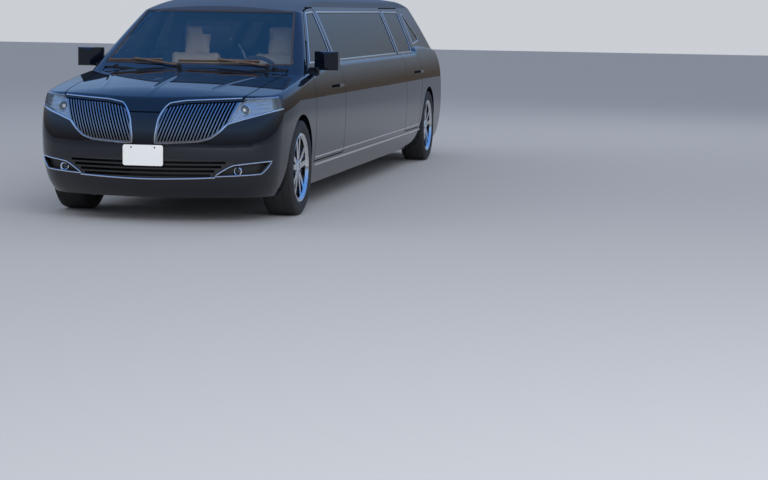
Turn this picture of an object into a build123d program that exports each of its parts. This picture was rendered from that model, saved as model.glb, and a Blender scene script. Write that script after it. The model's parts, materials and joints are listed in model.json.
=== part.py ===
# Stretch limousine: a long crossover saloon with four doors, a rear hatch and one wide window each side.
# X runs forward, Y to the car's left and Z up, in millimetres, from the ground under the middle of its length.
import copy
import math
import os

from build123d import *

# Length and its driving dimensions
base_wheelbase = 2995
stretch = 3048
front_overhang = 1050
rear_overhang = 1228
wheelbase = base_wheelbase + stretch
overall_length = wheelbase + front_overhang + rear_overhang
front_axle = overall_length / 2 - front_overhang
rear_axle = front_axle - wheelbase

# Heights
roof_height = 1712
belt_height = 1205
hip_rise = 60
floor_top = 300
floor_bottom = 240
cargo_floor = 640
cargo_front = 410
cargo_rear = -960
under_width = 785
body_bottom = 190
sill_top = 376
glass_bottom = 1165
glass_top = 1548
rail_height = 1600

# Wall thicknesses
door_wall = 110
front_wall = 55
hood_skin = 30
cabin_wall = 55
gate_wall = 90
glass_thickness = 5
glass_inset = 4
shut_gap = 8.5
bulkhead_front = -410
bulkhead_rear = -450

# Wheels and steering
tyre_radius = 369
tyre_half_width = 127
rim_radius = 268
bead_radius = 254
track = 1661
arch_radius = 410
front_house_radius = 430
arch_lip = 878
liner_thickness = 8
spoke_count = 5
disc_radius = 168
spindle_radius = 22
running_clearance = 0.05
kingpin_offset = 760
ball_radius = 20
seat_gap = 0.3

# Door hinges
hinge_setback = 95
hinge_y = 926
hinge_pin_radius = 8
hinge_heights = (520, 900)
hinge_arm_height = 22
hood_pin_radius = 6
hood_hinge_x, hood_hinge_z = -330, 1066
gate_pin_radius = 5
gate_hinge_x, gate_hinge_z = -508, 1616

# Door handles and mirrors
handle_y, handle_height = 964, 957
mirror_low = 1100

# Number plate pad
plate_pad_half, plate_pad_low, plate_pad_high = 158, 436, 590
plate_height, plate_hole_spacing, plate_hole_radius, plate_hole_depth = 568, 177.8, 3, 20

# Grille and lamps
grille_bars, grille_frame, bar_width = 26, 12, 9
grille_first_bar, grille_pitch, grille_lean = -10, 23.5, 137
cover_thickness, lamp_depth, lamp_wall = 3, 46, 6
fog_depth, fog_wall = 34, 7
round_lamp_depth = 12
# columns: place ahead of the front axle, sideways, height, radius, length
ROUND_LAMPS = [(768, 694, 842, 46, 40), (836, 665, 397, 30, 50)]
# columns: half width, low edge, high edge
INTAKE_SLOTS = [(478, 356, 376), (510, 388, 408), (560, 420, 440), (590, 452, 470)]

# Places along the car, measured from the front axle
front_door_front = -505
front_door_rear = -1640
stretch_end = front_door_rear - stretch
bumper_joint = 480

# The lower body: height, half width, nose ahead of the front axle, tail behind the rear axle
LOWER_SECTIONS = [
    (body_bottom, 880, 900, 1090),
    (320, 925, 1010, 1195),
    (470, 945, 1046, 1226),
    (640, 955, 1046, 1222),
    (820, 956, 1006, 1190),
    (980, 942, 900, 1160),
    (1100, 908, 760, 1120),
    (1220, 850, 600, 1060),
    (1340, 770, 420, 1000),
]
lower_bow, lower_corner, lower_tail_bow, lower_tail_corner = 1500, 350, 2200, 300
fender_radius, fender_sweep = 4000, math.radians(6)

# The cabin above the belt: height, half width, screen ahead of the front axle, rear glass behind the rear axle
UPPER_SECTIONS = [
    (1060, 880, -100, 1120),
    (1200, 828, -347, 975),
    (1350, 765, -612, 815),
    (1500, 697, -877, 655),
    (1620, 636, -1089, 527),
    (1740, 570, -1300, 400),
]
upper_bow, upper_corner, upper_tail_bow, upper_tail_corner = 1700, 120, 2200, 130

reach = 3000  # longer than any cut needs to be sideways or upwards


def fx(distance):
    """Place ahead of the front axle."""
    return front_axle + distance


def rx(distance):
    """Place ahead of the rear axle."""
    return rear_axle + distance


def corner_arcs(end, bow, corner, half_width, way, wing=0, sweep=0):
    """Ends and middles of the arcs from a bowed end, round its corner and along a gently curved wing to the side."""
    middle_y = half_width - wing + (wing - corner) * math.cos(sweep) if wing else half_width - corner
    along = math.sqrt((bow - corner) ** 2 - middle_y**2)
    bow_x = end - way * bow
    corner_x = bow_x + way * along
    meet = math.atan2(middle_y, along)
    last = math.pi / 2 - sweep

    def on_corner(turn):
        return (corner_x + way * corner * math.cos(turn), middle_y + corner * math.sin(turn))

    points = [on_corner(meet), on_corner((meet + last) / 2), on_corner(last)]
    if wing:
        wing_x = corner_x - way * (wing - corner) * math.sin(sweep)
        points.append((wing_x + way * wing * math.sin(sweep / 2), half_width - wing + wing * math.cos(sweep / 2)))
        points.append((wing_x, half_width))
    return points


def plan_wire(height, half_width, nose, tail, curves, side_inset, nose_inset, tail_inset):
    """Plan outline at one height: bowed nose and tail joined to straight sides by tangent arcs."""
    bow, corner, tail_bow, tail_corner, wing_radius, wing_sweep = curves
    nose_x = fx(nose) - nose_inset
    tail_x = rx(-tail) + tail_inset
    width = half_width - side_inset
    wing = wing_radius - side_inset if wing_radius else 0
    front = corner_arcs(nose_x, bow - side_inset, corner - side_inset, width, 1, wing, wing_sweep)
    rear = corner_arcs(tail_x, tail_bow - side_inset, tail_corner - side_inset, width, -1)

    def at(point, side=1):
        return (point[0], side * point[1], height)

    def arcs(points, side):
        return [
            ThreePointArc(at(points[k], side), at(points[k + 1], side), at(points[k + 2], side))
            for k in range(0, len(points) - 2, 2)
        ]

    edges = [ThreePointArc(at(front[0], -1), (nose_x, 0, height), at(front[0]))]
    edges += arcs(front, 1)
    edges += [Line(at(front[-1]), at(rear[-1]))]
    edges += arcs(rear[::-1], 1)
    edges += [ThreePointArc(at(rear[0]), (tail_x, 0, height), at(rear[0], -1))]
    edges += arcs(rear, -1)
    edges += [Line(at(rear[-1], -1), at(front[-1], -1))]
    edges += arcs(front[::-1], -1)
    return Wire(edges)


def body_loft(sections, curves, side=0, nose=0, tail=0):
    """Loft of plan outlines, set in by the given amounts at the sides, nose and tail."""
    return Solid.make_loft([plan_wire(z, w, n, t, curves, side, nose, tail) for z, w, n, t in sections])


def lower_loft(side=0, nose=0, tail=0):
    """Lower body from the sill to above the belt."""
    curves = (lower_bow, lower_corner, lower_tail_bow, lower_tail_corner, fender_radius, fender_sweep)
    return body_loft(LOWER_SECTIONS, curves, side, nose, tail)


def upper_loft(side=0, nose=0, tail=0):
    """Glasshouse from below the belt to above the roof."""
    curves = (upper_bow, upper_corner, upper_tail_bow, upper_tail_corner, 0, 0)
    return body_loft(UPPER_SECTIONS, curves, side, nose, tail)


def crowned_cutter(path, crown, half, above):
    """Sweeps a crowned band along a path in the middle plane: what lies above that path."""
    start = path @ 0
    plane = Plane(origin=start, x_dir=(0, 1, 0), z_dir=path % 0)
    up = 1 if plane.y_dir.Z > 0 else -1
    drop = crown - math.sqrt(crown**2 - half**2)

    def at(across, height):
        return plane.from_local_coords(Vector(across, up * height, 0))

    left, top, right = at(-half, -drop), at(0, 0), at(half, -drop)
    high_right, high_left = at(half, above), at(-half, above)
    band = Wire(
        [ThreePointArc(left, top, right), Line(right, high_right), Line(high_right, high_left), Line(high_left, left)]
    )
    return sweep(Face(band), path=path)


def in_side_view(x, z):
    """A point of the car's middle plane."""
    return (x, 0, z)


def belt_path():
    """Middle line of the bonnet, then the belt with its rise over the rear wheels."""
    lip_start, lip_height, lip_slope, lip_radius, lip_length = 700, 995, math.radians(9), 1100, 480
    cowl, cowl_height, cowl_radius = -600, 1150, 2500

    def lip(run):
        turn = math.asin(math.sin(lip_slope) + run / lip_radius)
        return in_side_view(fx(lip_start + run), lip_height - lip_radius * (math.cos(lip_slope) - math.cos(turn)))

    lip_arc = ThreePointArc(lip(lip_length), lip(lip_length / 2), lip(0))
    bonnet = TangentArc(lip(0), in_side_view(fx(cowl), cowl_height), tangent=lip_arc % 1)
    slope = math.atan2((bonnet % 1).Z, -(bonnet % 1).X)
    ease_rise = cowl_radius * (1 - math.cos(slope))
    ease_run = cowl_radius * math.sin(slope)
    ramp_rise = belt_height - cowl_height - ease_rise
    ramp_end = in_side_view(fx(cowl) - ramp_rise / math.tan(slope), cowl_height + ramp_rise)
    level_start = in_side_view(ramp_end[0] - ease_run, belt_height)
    hip_start, hip_run, tail_end, tail_height = rx(640), 400, rx(-1400), 1150
    mid_hip = in_side_view(hip_start - hip_run / 2, belt_height + hip_rise / 2)
    hip_end = in_side_view(hip_start - hip_run, belt_height + hip_rise)
    ramp = Line(bonnet @ 1, ramp_end)
    ease = TangentArc(ramp_end, level_start, tangent=ramp % 1)
    level = Line(level_start, in_side_view(hip_start, belt_height))
    hip_in = TangentArc(level @ 1, mid_hip, tangent=level % 1)
    hip_out = TangentArc(mid_hip, hip_end, tangent=hip_in % 1)
    tail = TangentArc(hip_end, in_side_view(tail_end, tail_height), tangent=(-1, 0, 0))
    return Wire([lip_arc, bonnet, ramp, ease, level, hip_in, hip_out, tail])


def roof_path():
    """Middle line of the roof: an arc up from the screen, a level run and an arc down to the tail."""
    front_run, front_radius, front_start = 1700, 7000, fx(-2300)
    rear_run, rear_radius, rear_start = 1200, 4500, rx(300)

    def fall(radius, run):
        return roof_height - radius + math.sqrt(radius**2 - run**2)

    start, end = in_side_view(front_start, roof_height), in_side_view(rear_start, roof_height)
    nose = in_side_view(front_start + front_run, fall(front_radius, front_run))
    nose_mid = in_side_view(front_start + front_run / 2, fall(front_radius, front_run / 2))
    tail = in_side_view(rear_start - rear_run, fall(rear_radius, rear_run))
    tail_mid = in_side_view(rear_start - rear_run / 2, fall(rear_radius, rear_run / 2))
    return Wire([ThreePointArc(nose, nose_mid, start), Line(start, end), ThreePointArc(end, tail_mid, tail)])


belt_crown, roof_crown = 6000, 4000
shoulder_fillet, roof_fillet = 60, 50


def rim_edges(solid, lowest, front, rear):
    """Edges where a crowned top meets the sides, nose and tail, without the seams across the top."""

    def on_rim(edge):
        middle = edge @ 0.5
        across_top = abs(middle.Y) < 1 and rear < middle.X < front
        return edge.bounding_box().min.Z > lowest and not across_top and abs((edge @ 0).Z - (edge @ 1).Z) < 200

    return [edge for edge in solid.edges() if on_rim(edge)]


def box_between(x, y, z):
    """Box from three (low, high) pairs."""
    size = [high - low for low, high in (x, y, z)]
    middle = [(high + low) / 2 for low, high in (x, y, z)]
    return Pos(*middle) * Box(*size)


def side_prism(points, low=-reach, high=reach, radius=0):
    """Outline in side view, (x, z) points, pushed across the car from y low to y high."""
    outline = Polyline(*[in_side_view(x, z) for x, z in points], close=True)
    face = make_face(outline)
    if radius:
        face = fillet(face.vertices(), radius)
    return Pos(0, low, 0) * extrude(face, amount=high - low, dir=(0, 1, 0))


def at_side(side, y_low, y_high, x, z):
    """Box on one side: y counts outwards from the middle plane."""
    low, high = sorted((side * y_low, side * y_high))
    return box_between(x, (low, high), z)


def front_face(points, x):
    """Outline in front view, (y, z) points, as a flat face at one place along the car."""
    return make_face(Polyline(*[(x, y, z) for y, z in points], close=True))


def front_prism(points, low=-reach, high=reach, radius=0):
    """Outline in front view, (y, z) points, pushed along the car from x low to x high."""
    face = front_face(points, low)
    if radius:
        face = fillet(face.vertices(), radius)
    return extrude(face, amount=high - low, dir=(1, 0, 0))


def plan_prism(points, low=-reach, high=reach):
    """Outline in plan, (x, y) points, pushed up from z low to z high."""
    return extrude(make_face(Polyline(*[(x, y, low) for x, y in points], close=True)), amount=high - low, dir=(0, 0, 1))


def both_sides(points):
    """A (y, z) or (x, y) outline's mirror image about the middle plane, for front view outlines."""
    return [(-y, z) for y, z in points]


# Body shells
belt_cutter = crowned_cutter(belt_path(), belt_crown, 1100, 430)
roof_cutter = crowned_cutter(roof_path(), roof_crown, 1000, 300)


def outer_lower():
    """Lower body as one block, crowned on top and rounded along its shoulder."""
    block = lower_loft() - belt_cutter
    return fillet(rim_edges(block, 780, fx(850), rx(-1000)), shoulder_fillet)


def outer_upper():
    """Glasshouse as one block with its roof rounded off."""
    block = upper_loft() - roof_cutter
    rim = [edge for edge in rim_edges(block, 1400, fx(-1200), rx(-500)) if abs((edge @ 0).Z - (edge @ 1).Z) < 80]
    return fillet(rim, roof_fillet)


lower_block = outer_lower()
upper_block = outer_upper()

inner_loft = lower_loft(door_wall, door_wall, gate_wall)
cabin_space = inner_loft & (
    box_between((rx(cargo_front), fx(bulkhead_rear)), (-reach, reach), (floor_top, 1330))
    + box_between((rx(-2000), rx(cargo_front)), (-reach, reach), (cargo_floor, 1330))
)
engine_space = (lower_loft(front_wall, front_wall) - Pos(0, 0, -hood_skin) * belt_cutter) & box_between(
    (fx(bulkhead_front), fx(2000)), (-reach, reach), (0, 1400)
)
floor_block = (
    box_between((rx(cargo_front), fx(bulkhead_rear)), (-under_width, under_width), (floor_bottom, floor_top))
    + box_between((rx(cargo_front), rx(cargo_front + 40)), (-under_width, under_width), (floor_top, cargo_floor))
    + box_between((rx(cargo_rear), rx(cargo_front + 40)), (-under_width, under_width), (cargo_floor - 40, cargo_floor))
)
under_space = box_between(
    (rx(cargo_front), fx(bulkhead_front)), (-under_width, under_width), (0, floor_bottom)
) + box_between((rx(cargo_rear), rx(cargo_front)), (-under_width, under_width), (0, cargo_floor - 40))
roof_space = (upper_loft(cabin_wall, 2 * cabin_wall, 1.4 * cabin_wall) - Pos(0, 0, -cabin_wall) * roof_cutter)
lower_shell = lower_block - cabin_space - engine_space - under_space - floor_block
upper_shell = upper_block - roof_space

# Wheel houses
def round_space(x, radius, inner, outer):
    """Space of a given radius about an axle and down to the ground, from inner to outer on both sides."""
    across = Pos(x, 0, tyre_radius) * Rot(X=90) * Cylinder(radius, 2 * outer)
    below = box_between((x - radius, x + radius), (-outer, outer), (-reach, tyre_radius))
    middle = box_between((x - 1000, x + 1000), (-inner, inner), (-2 * reach, 2 * reach))
    return (across + below) - middle


# columns: axle place, inner wall, radius of the house, radius of the arch
WHEEL_HOUSES = [(fx(0), 495, front_house_radius, arch_radius), (rx(0), 640, arch_radius + 10, arch_radius)]


def wheel_house(grow=0):
    """The spaces of all four wheels; a growth leaves room for the liners."""
    spaces = [
        round_space(x, house + grow, inner - grow, arch_lip + seat_gap) + round_space(x, arch, inner, reach)
        for x, inner, house, arch in WHEEL_HOUSES
    ]
    return spaces[0] + spaces[1]


wheel_spaces = wheel_house(liner_thickness + seat_gap)


# Outlines in front view, (y, z): the left half, mirrored for the right
grille_outline = [
    (86, 600), (104, 770), (128, 828), (150, 860), (180, 890), (300, 910), (676, 930), (602, 744), (545, 684),
    (484, 638), (400, 614), (250, 604),
]
lamp_outline = [(602, 744), (676, 930), (800, 932), (1000, 944), (1000, 868)]
hood_half_front = [(0, 828), (110, 828), (180, 870), (300, 890), (672, 908), (780, 908)]
intake_outline = [
    (0, 338), (-490, 350), (-500, 366), (-552, 408), (-645, 456), (-560, 474), (0, 492), (560, 474), (645, 456),
    (552, 408), (500, 366), (490, 350),
]
fog_outline = [(512, 358), (560, 396), (640, 440), (884, 466), (820, 374)]
hood_half_plan = [(-155, 0), (-185, 420), (-330, 748), (620, 706), (880, 672), (1300, 672)]
hood_rear_gap = 38
lamp_rear = 560


def mirrored(half, shift_x=0, shift_y=0):
    """A half outline listed from the middle line outwards, moved outwards and completed on the other side."""
    outer = [(x + (shift_x if i < 3 else 0), y + (shift_y if y else 0)) for i, (x, y) in enumerate(half)]
    return [(x, -y) for x, y in reversed(outer) if y] + outer


def hood_prism(gap, rear_gap):
    """Space of the bonnet in plan and above its front line, grown by a gap."""
    plan = [(fx(x), y) for x, y in mirrored(hood_half_plan, -rear_gap, gap)]
    plan_space = plan_prism(plan, 0, reach)
    line = [(y, z - gap) for y, z in hood_half_front]
    front = [(-y, z) for y, z in reversed(line) if y] + line
    return plan_space & front_prism(front + [(780, reach), (-780, reach)], fx(-420), fx(1300))


hood_space = hood_prism(0, 0)
hood_opening = hood_prism(shut_gap, hood_rear_gap)


def front_pair(outline, low=600):
    """A front view outline on both sides, pushed forward from a place ahead of the front axle."""
    return front_prism(outline, fx(low), fx(1300)) + front_prism(both_sides(outline), fx(low), fx(1300))


def inset_prism(outline, amount, low=600):
    """A front view outline drawn in by an amount, pushed forward from a place ahead of the front axle."""
    face = offset(front_face(outline, fx(low)), -amount, kind=Kind.INTERSECTION)
    return extrude(face, amount=1300 - low, dir=(1, 0, 0))


lamp_space = front_pair(lamp_outline, lamp_rear)
grille_space = front_pair(grille_outline)
intake_space = front_prism(intake_outline, fx(600), fx(1300))
fog_space = front_pair(fog_outline)
front_openings = lamp_space + grille_space + intake_space + fog_space

# Door and opening outlines in side view, (x, z): x ahead of the front axle for the front door, of the rear for the rear
front_door_outline = [
    (-505, 385), (-505, 1105), (-575, 1138), (-1175, 1520), (-1265, 1562), (-1432, 1585), (-1640, 1591),
    (-1640, 385),
]
front_opening_outline = [
    (-496, 376), (-496, 1110), (-570, 1148), (-1172, 1531), (-1262, 1572), (-1430, 1594), (-1649, 1600),
    (-1649, 376),
]
rear_door_outline = [(1346, 385), (1346, 1591), (380, 1591), (430, 1210), (410, 900), (480, 640), (540, 385)]
rear_opening_outline = [(1355, 376), (1355, 1600), (366, 1600), (421, 1210), (401, 896), (471, 634), (531, 376)]
front_glass_outline = [
    (-735, glass_bottom), (-1225, 1492), (-1305, glass_top - 8), (-1585, glass_top), (-1572, glass_bottom),
]
rear_glass_outline = [(1270, glass_bottom), (1265, glass_top), (455, glass_top - 4), (505, 1205), (560, glass_bottom)]
side_window_outline = [
    (front_door_rear - 80, glass_bottom), (front_door_rear - 92, glass_top), (stretch_end + 55, glass_top),
    (stretch_end + 55, glass_bottom),
]
quarter_glass_outline = [(275, 1238), (245, 1528), (185, 1520), (-130, 1290), (-110, 1268)]
flange_depth, rebate = 10, 20


def beside_left(outline, place, shrink=0):
    """Side outline pushed through the left side wall, drawn in by a rebate if given."""
    face = make_face(Polyline(*[in_side_view(place(x), z) for x, z in outline], close=True))
    if shrink:
        face = offset(face, -shrink, kind=Kind.INTERSECTION)
    return Pos(0, 300, 0) * extrude(face, amount=1100, dir=(0, 1, 0))


def beside(outline, place):
    """Side outline pushed through both side walls."""
    left = beside_left(outline, place)
    return left + Pos(0, -1700, 0) * left


glass_sheet = upper_loft(glass_inset, 2 * glass_inset, 1.4 * glass_inset) - upper_loft(
    glass_inset + glass_thickness, 2 * (glass_inset + glass_thickness), 1.4 * (glass_inset + glass_thickness)
)
side_window_space = beside(side_window_outline, fx)
quarter_glass_space = beside(quarter_glass_outline, rx)
screen_outline = [(-770, 1138), (-632, 1564), (632, 1564), (770, 1138)]
screen_space = front_prism(screen_outline, fx(-1400), fx(0))

# Liftgate
gate_outline = [
    (-640, 716), (-742, 960), (-770, 1120), (-742, 1225), (-560, 1570), (-525, 2500), (525, 2500), (560, 1570),
    (742, 1225), (770, 1120), (742, 960), (640, 716),
]
gate_front = -478
gate_gap = 10
gate_top_gap = 18
gate_glass_outline = [(-690, 1205), (-505, 1556), (505, 1556), (690, 1205)]
gate_lamp_outline = [(-752, 1000), (-762, 1062), (762, 1062), (752, 1000)]
corner_lamp_outline = [(762, 1000), (772, 1062), (1000, 1062), (1000, 1000)]


def gate_prism(move, front):
    """Rear view outline of the liftgate, moved outwards, and pushed back from its front face."""
    line = [(y + math.copysign(move, y), z - (abs(move) * (1 if move > 0 else -1) if z < 800 else 0))
            for y, z in gate_outline]
    return front_prism(line, rx(-2000), rx(front))


gate_space = gate_prism(0, gate_front)
gate_inner_space = gate_prism(-30, gate_front - 20)
gate_opening = gate_prism(gate_gap, gate_front + gate_top_gap)
gate_glass_space = front_prism(gate_glass_outline, rx(-2000), rx(gate_front - 40))
gate_lamp_space = front_prism(gate_lamp_outline, rx(-2000), rx(-1000))
gate_flank_points = [(770, 1120, -960), (742, 1225, -810), (560, 1570, -523)]
gate_flank_rise = 0.78


def gate_flank_prism():
    """Space between the gate's flanks, which lean inwards so that they swing up and back past the corner pillars."""
    near = gate_front + 10
    edge = [(y, z - gate_flank_rise * (near - x)) for y, z, x in gate_flank_points]
    line = [(900, 0), (900, edge[0][1]), *edge, (525, 2500)]
    face = front_face([(-y, z) for y, z in reversed(line)] + line, rx(near))
    return extrude(face, amount=1500, dir=(-1, 0, gate_flank_rise))


# Skins just under the outer faces, for rebated edges
under_skin = lower_loft(flange_depth, flange_depth, flange_depth) + upper_loft(
    flange_depth, 2 * flange_depth, 1.4 * flange_depth
)

PARTS = {}


def keep(name, shape, smallest=2e4):
    """Files a sub-part under its node's name, without slivers."""
    PARTS[name] = Compound([s for s in shape.solids() if s.volume > smallest])


def keep_pair(name, left, smallest=2e4):
    """Files a left piece and its mirror image under one node's name."""
    keep(name, Compound([*left.solids(), *mirror(left, Plane.XZ).solids()]), smallest)


def keep_sides(name, left, smallest=2e4):
    """Files a left piece and its mirror image under one name each."""
    keep(f"{name}_left", left, smallest)
    keep(f"{name}_right", mirror(left, Plane.XZ), smallest)


def common(shape, zone):
    """What a shape shares with a zone, worked on a fresh copy."""
    return copy.deepcopy(shape) & copy.deepcopy(zone)


def less(shape, *zones):
    """A shape without some zones, worked on a fresh copy."""
    result = copy.deepcopy(shape)
    for zone in zones:
        result = result - copy.deepcopy(zone)
    return result


def lengthwise(low, high):
    """Everything between two places along the car."""
    return box_between((low, high), (-reach, reach), (-reach, reach))


def upright(low, high):
    """Everything between two heights."""
    return box_between((-2 * reach, 2 * reach), (-reach, reach), (low, high))


lower_shell = lower_shell - wheel_spaces
whole_shell = (lower_shell - roof_space) + (upper_shell - cabin_space - engine_space)
front_opening = beside(front_opening_outline, fx)
rear_opening = beside(rear_opening_outline, rx)
body_shell = whole_shell - hood_opening - front_opening - rear_opening - gate_opening - screen_space
body_shell = body_shell - side_window_space - quarter_glass_space

# First cuts of the body, lengthwise and by height
frame_zone = box_between((fx(-1295), fx(200)), (-reach, reach), (200, rail_height))
panel_zone = box_between((rx(1355), fx(-1649)), (-reach, reach), (sill_top, rail_height))
quarter_zone = box_between((rx(-2000), rx(1300)), (-reach, reach), (sill_top, rail_height))
sill_zone = box_between((rx(410), fx(-496)), (-reach, reach), (0, sill_top))
bumper_zone = box_between((rx(-2000), rx(-395)), (-reach, reach), (0, 707))
roof_zone = upright(rail_height, 2500) + box_between((fx(-1400), fx(-600)), (-reach, reach), (1564, 2500)) + box_between(
    (rx(-600), rx(600)), (-575, 575), (1400, 2500)
)
frame_block = common(body_shell, frame_zone)
panel_piece = common(body_shell, panel_zone)
quarter_block = common(body_shell, quarter_zone)
sill_piece = common(body_shell, sill_zone)
tail_piece = common(body_shell, bumper_zone)
roof_piece = common(body_shell, roof_zone)
front_piece = common(body_shell, lengthwise(fx(-496), fx(2000)))
front_door_block = common(whole_shell, beside_left(front_door_outline, fx))
rear_door_block = common(whole_shell, beside_left(rear_door_outline, rx))
gate_block = common(common(whole_shell, gate_space), gate_flank_prism())
hood_piece = common(whole_shell, hood_space)
nose_block = common(whole_shell, lengthwise(fx(bumper_joint), fx(2000)))
left_nose = common(nose_block, box_between((fx(0), fx(2000)), (0, reach), (0, reach)))

# Hinges
def door_hinge(x, side, height):
    """Arm with its pin, the pocket it swings in and the bore of the pin, for one hinge of a side door."""
    top, low = height + hinge_arm_height, height
    arm_line = [(-11, 0), (-11, -122), (150, -122), (150, -80), (112, -80), (112, -98), (11, -98), (11, 0)]
    pocket_line = [(-17, -220), (-17, 17), (17, 17), (45, 3), (100, -20), (160, -20), (160, -220)]
    arm = plan_prism([(x + a, side * (hinge_y + b)) for a, b in arm_line], low, top)
    arm += Pos(x, side * hinge_y, (low + top) / 2) * Cylinder(11, hinge_arm_height)
    arm += Pos(x, side * hinge_y, (low + top) / 2) * Cylinder(hinge_pin_radius, hinge_arm_height + 60)
    pocket = plan_prism([(x + a, side * (hinge_y + b)) for a, b in pocket_line], low - 6, top + seat_gap)
    bore = Pos(x, side * hinge_y, (low + top) / 2) * Cylinder(
        hinge_pin_radius + running_clearance, hinge_arm_height + 64
    )
    return arm, pocket + bore


def door_hinges(x):
    """All hinge arms and pockets of one pair of side doors."""
    sets = [door_hinge(x, side, height) for side in (1, -1) for height in hinge_heights]
    arms, pockets = zip(*sets)
    return list(arms), list(pockets)


def across(x, z, radius, side, y_low, y_high):
    """Round bar lying across the car on one side."""
    middle = side * (y_low + y_high) / 2
    return Pos(x, middle, z) * Rot(X=90) * Cylinder(radius, y_high - y_low)


front_arms, front_pockets = door_hinges(fx(-505 - hinge_setback))
rear_arms, rear_pockets = door_hinges(rx(1346 - hinge_setback))
hood_ears, hood_bores, hood_brackets, hood_slots = [], [], [], []
gate_arms, gate_pockets = [], []
hood_x, gate_x = fx(hood_hinge_x), rx(gate_hinge_x)
gate_arm_line = [(-7, 0), (-7, -75), (95, -75), (95, -15), (75, -15), (75, -55), (7, -55), (7, 0)]
gate_pocket_line = [(-11, -150), (-11, 10), (11, 10), (40, 6), (120, 6), (120, -150)]
for side in (1, -1):
    ear = at_side(side, 640, 670, (hood_x, hood_x + 62), (hood_hinge_z - 21, hood_hinge_z + 3))
    hood_ears.append(ear + across(hood_x, hood_hinge_z, 12, side, 640, 670))
    hood_bores.append(across(hood_x, hood_hinge_z, hood_pin_radius + running_clearance, side, 635, 675))
    bracket = at_side(side, 623, 634, (hood_x - 45, hood_x + 12), (hood_hinge_z - 26, hood_hinge_z + 8))
    bracket += at_side(side, 676, 687, (hood_x - 45, hood_x + 12), (hood_hinge_z - 26, hood_hinge_z + 8))
    hood_brackets.append(bracket + across(hood_x, hood_hinge_z, hood_pin_radius, side, 628, 682))
    hood_slots.append(at_side(side, 634, 676, (hood_x - 18, hood_x + 70), (hood_hinge_z - 30, 1200)))
    arm = side_prism([(gate_x + a, gate_hinge_z + b) for a, b in gate_arm_line], *sorted((side * 190, side * 210)))
    arm += across(gate_x, gate_hinge_z, 7, side, 190, 210) + across(gate_x, gate_hinge_z, gate_pin_radius, side, 165, 235)
    gate_arms.append(arm)
    pocket = side_prism(
        [(gate_x + a, gate_hinge_z + b) for a, b in gate_pocket_line], *sorted((side * 184, side * 210.3))
    )
    gate_pockets.append(pocket + across(gate_x, gate_hinge_z, gate_pin_radius + running_clearance, side, 163, 237))


def joined(shape, pieces):
    """A shape with several pieces joined to it."""
    for piece in pieces:
        shape = shape + copy.deepcopy(piece)
    return shape


# Front end
nose_zone = lengthwise(fx(bumper_joint), fx(2000))
above_lamps = front_pair([(602, 744), (1100, 903), (1100, 2500), (672, 2500), (672, 920)], bumper_joint)
cowl_zone = box_between((fx(-2000), fx(-335)), (-756, 756), (0, reach)) + box_between(
    (fx(-2000), fx(-410)), (-reach, reach), (0, 1125)
) + box_between((fx(-340), fx(-100)), (-730, 730), (0, reach))
fender_zone = box_between((fx(-496), fx(bumper_joint)), (-reach, reach), (0, 1150))
pillar_zone = beside([(-200, 1105), (-490, 1105), (-570, 1148), (-1288, 1600), (-200, 1600)], fx)
keep("hood", less(joined(hood_piece, hood_ears), *hood_bores))
fender_piece = less(common(front_piece, fender_zone), cowl_zone, pillar_zone)
front_frame = less(frame_block, roof_zone, fender_piece, sill_zone, *hood_slots)
keep("front_frame", joined(front_frame, hood_brackets + front_arms))
keep("fenders", fender_piece + less(common(front_piece, above_lamps), lamp_space))
plate_pad = box_between((fx(1000), fx(front_overhang)), (-plate_pad_half, plate_pad_half), (plate_pad_low, plate_pad_high))
plate_holes = [
    Pos(fx(front_overhang), y, plate_height) * Rot(Y=90) * Cylinder(plate_hole_radius, 2 * plate_hole_depth)
    for y in (-plate_hole_spacing / 2, plate_hole_spacing / 2)
]
bumper_piece = less(common(front_piece, nose_zone), above_lamps, front_openings)
keep("front_bumper", less(joined(bumper_piece, [plate_pad]), *plate_holes))

# Grille halves: a frame and a row of leaning upright bars, open between them
grille_inner = offset(front_face(grille_outline, fx(600)), -grille_frame, kind=Kind.INTERSECTION)
bar_faces = []
for number in range(grille_bars):
    foot = grille_first_bar + number * grille_pitch
    top = foot + grille_lean
    bar_faces.append(
        front_face([(foot, 580), (foot + bar_width, 580), (top + bar_width, 960), (top, 960)], fx(600))
    )
grille_slots = extrude(grille_inner - bar_faces, amount=700, dir=(1, 0, 0))
grille_block = less(common(left_nose, front_prism(grille_outline, fx(600), fx(1300))), hood_opening)
keep_pair("grilles", less(grille_block, grille_slots))

# Lamps: deep housings with round lamps, under clear covers
cover_skin = lower_loft() - lower_loft(cover_thickness, cover_thickness)
under_cover = lower_loft(cover_thickness + seat_gap, cover_thickness + seat_gap)
lamp_recess = inset_prism(lamp_outline, lamp_wall, lamp_rear) - lower_loft(lamp_depth, lamp_depth)
fog_recess = inset_prism(fog_outline, fog_wall) - lower_loft(fog_depth, fog_depth)
lamp_block = less(common(left_nose, front_prism(lamp_outline, fx(lamp_rear), fx(1300))), hood_opening)
housing = less(common(lamp_block, under_cover), lamp_recess)
fogs = less(common(left_nose, front_prism(fog_outline, fx(600), fx(1300))), fog_recess)
for x, y, z, radius, length in ROUND_LAMPS:
    barrel = Pos(fx(x), y, z) * Rot(Y=90) * Cylinder(radius, length)
    barrel -= Pos(fx(x) + length / 2, y, z) * Rot(Y=90) * Cylinder(radius - 9, 2 * round_lamp_depth)
    if z > 600:
        housing += barrel
    else:
        fogs += barrel
keep_pair("front_lamps", housing)
keep_pair("fog_lamps", fogs)
keep_pair("lamp_covers", common(lamp_block, cover_skin), 1e3)

# Lower intake with level bars
intake_slots = [
    front_prism([(-half, low), (half, low), (half, high), (-half, high)], fx(600), fx(1300))
    for half, low, high in INTAKE_SLOTS
]
keep("intake", less(common(nose_block, intake_space), plate_pad, *intake_slots))

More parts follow.
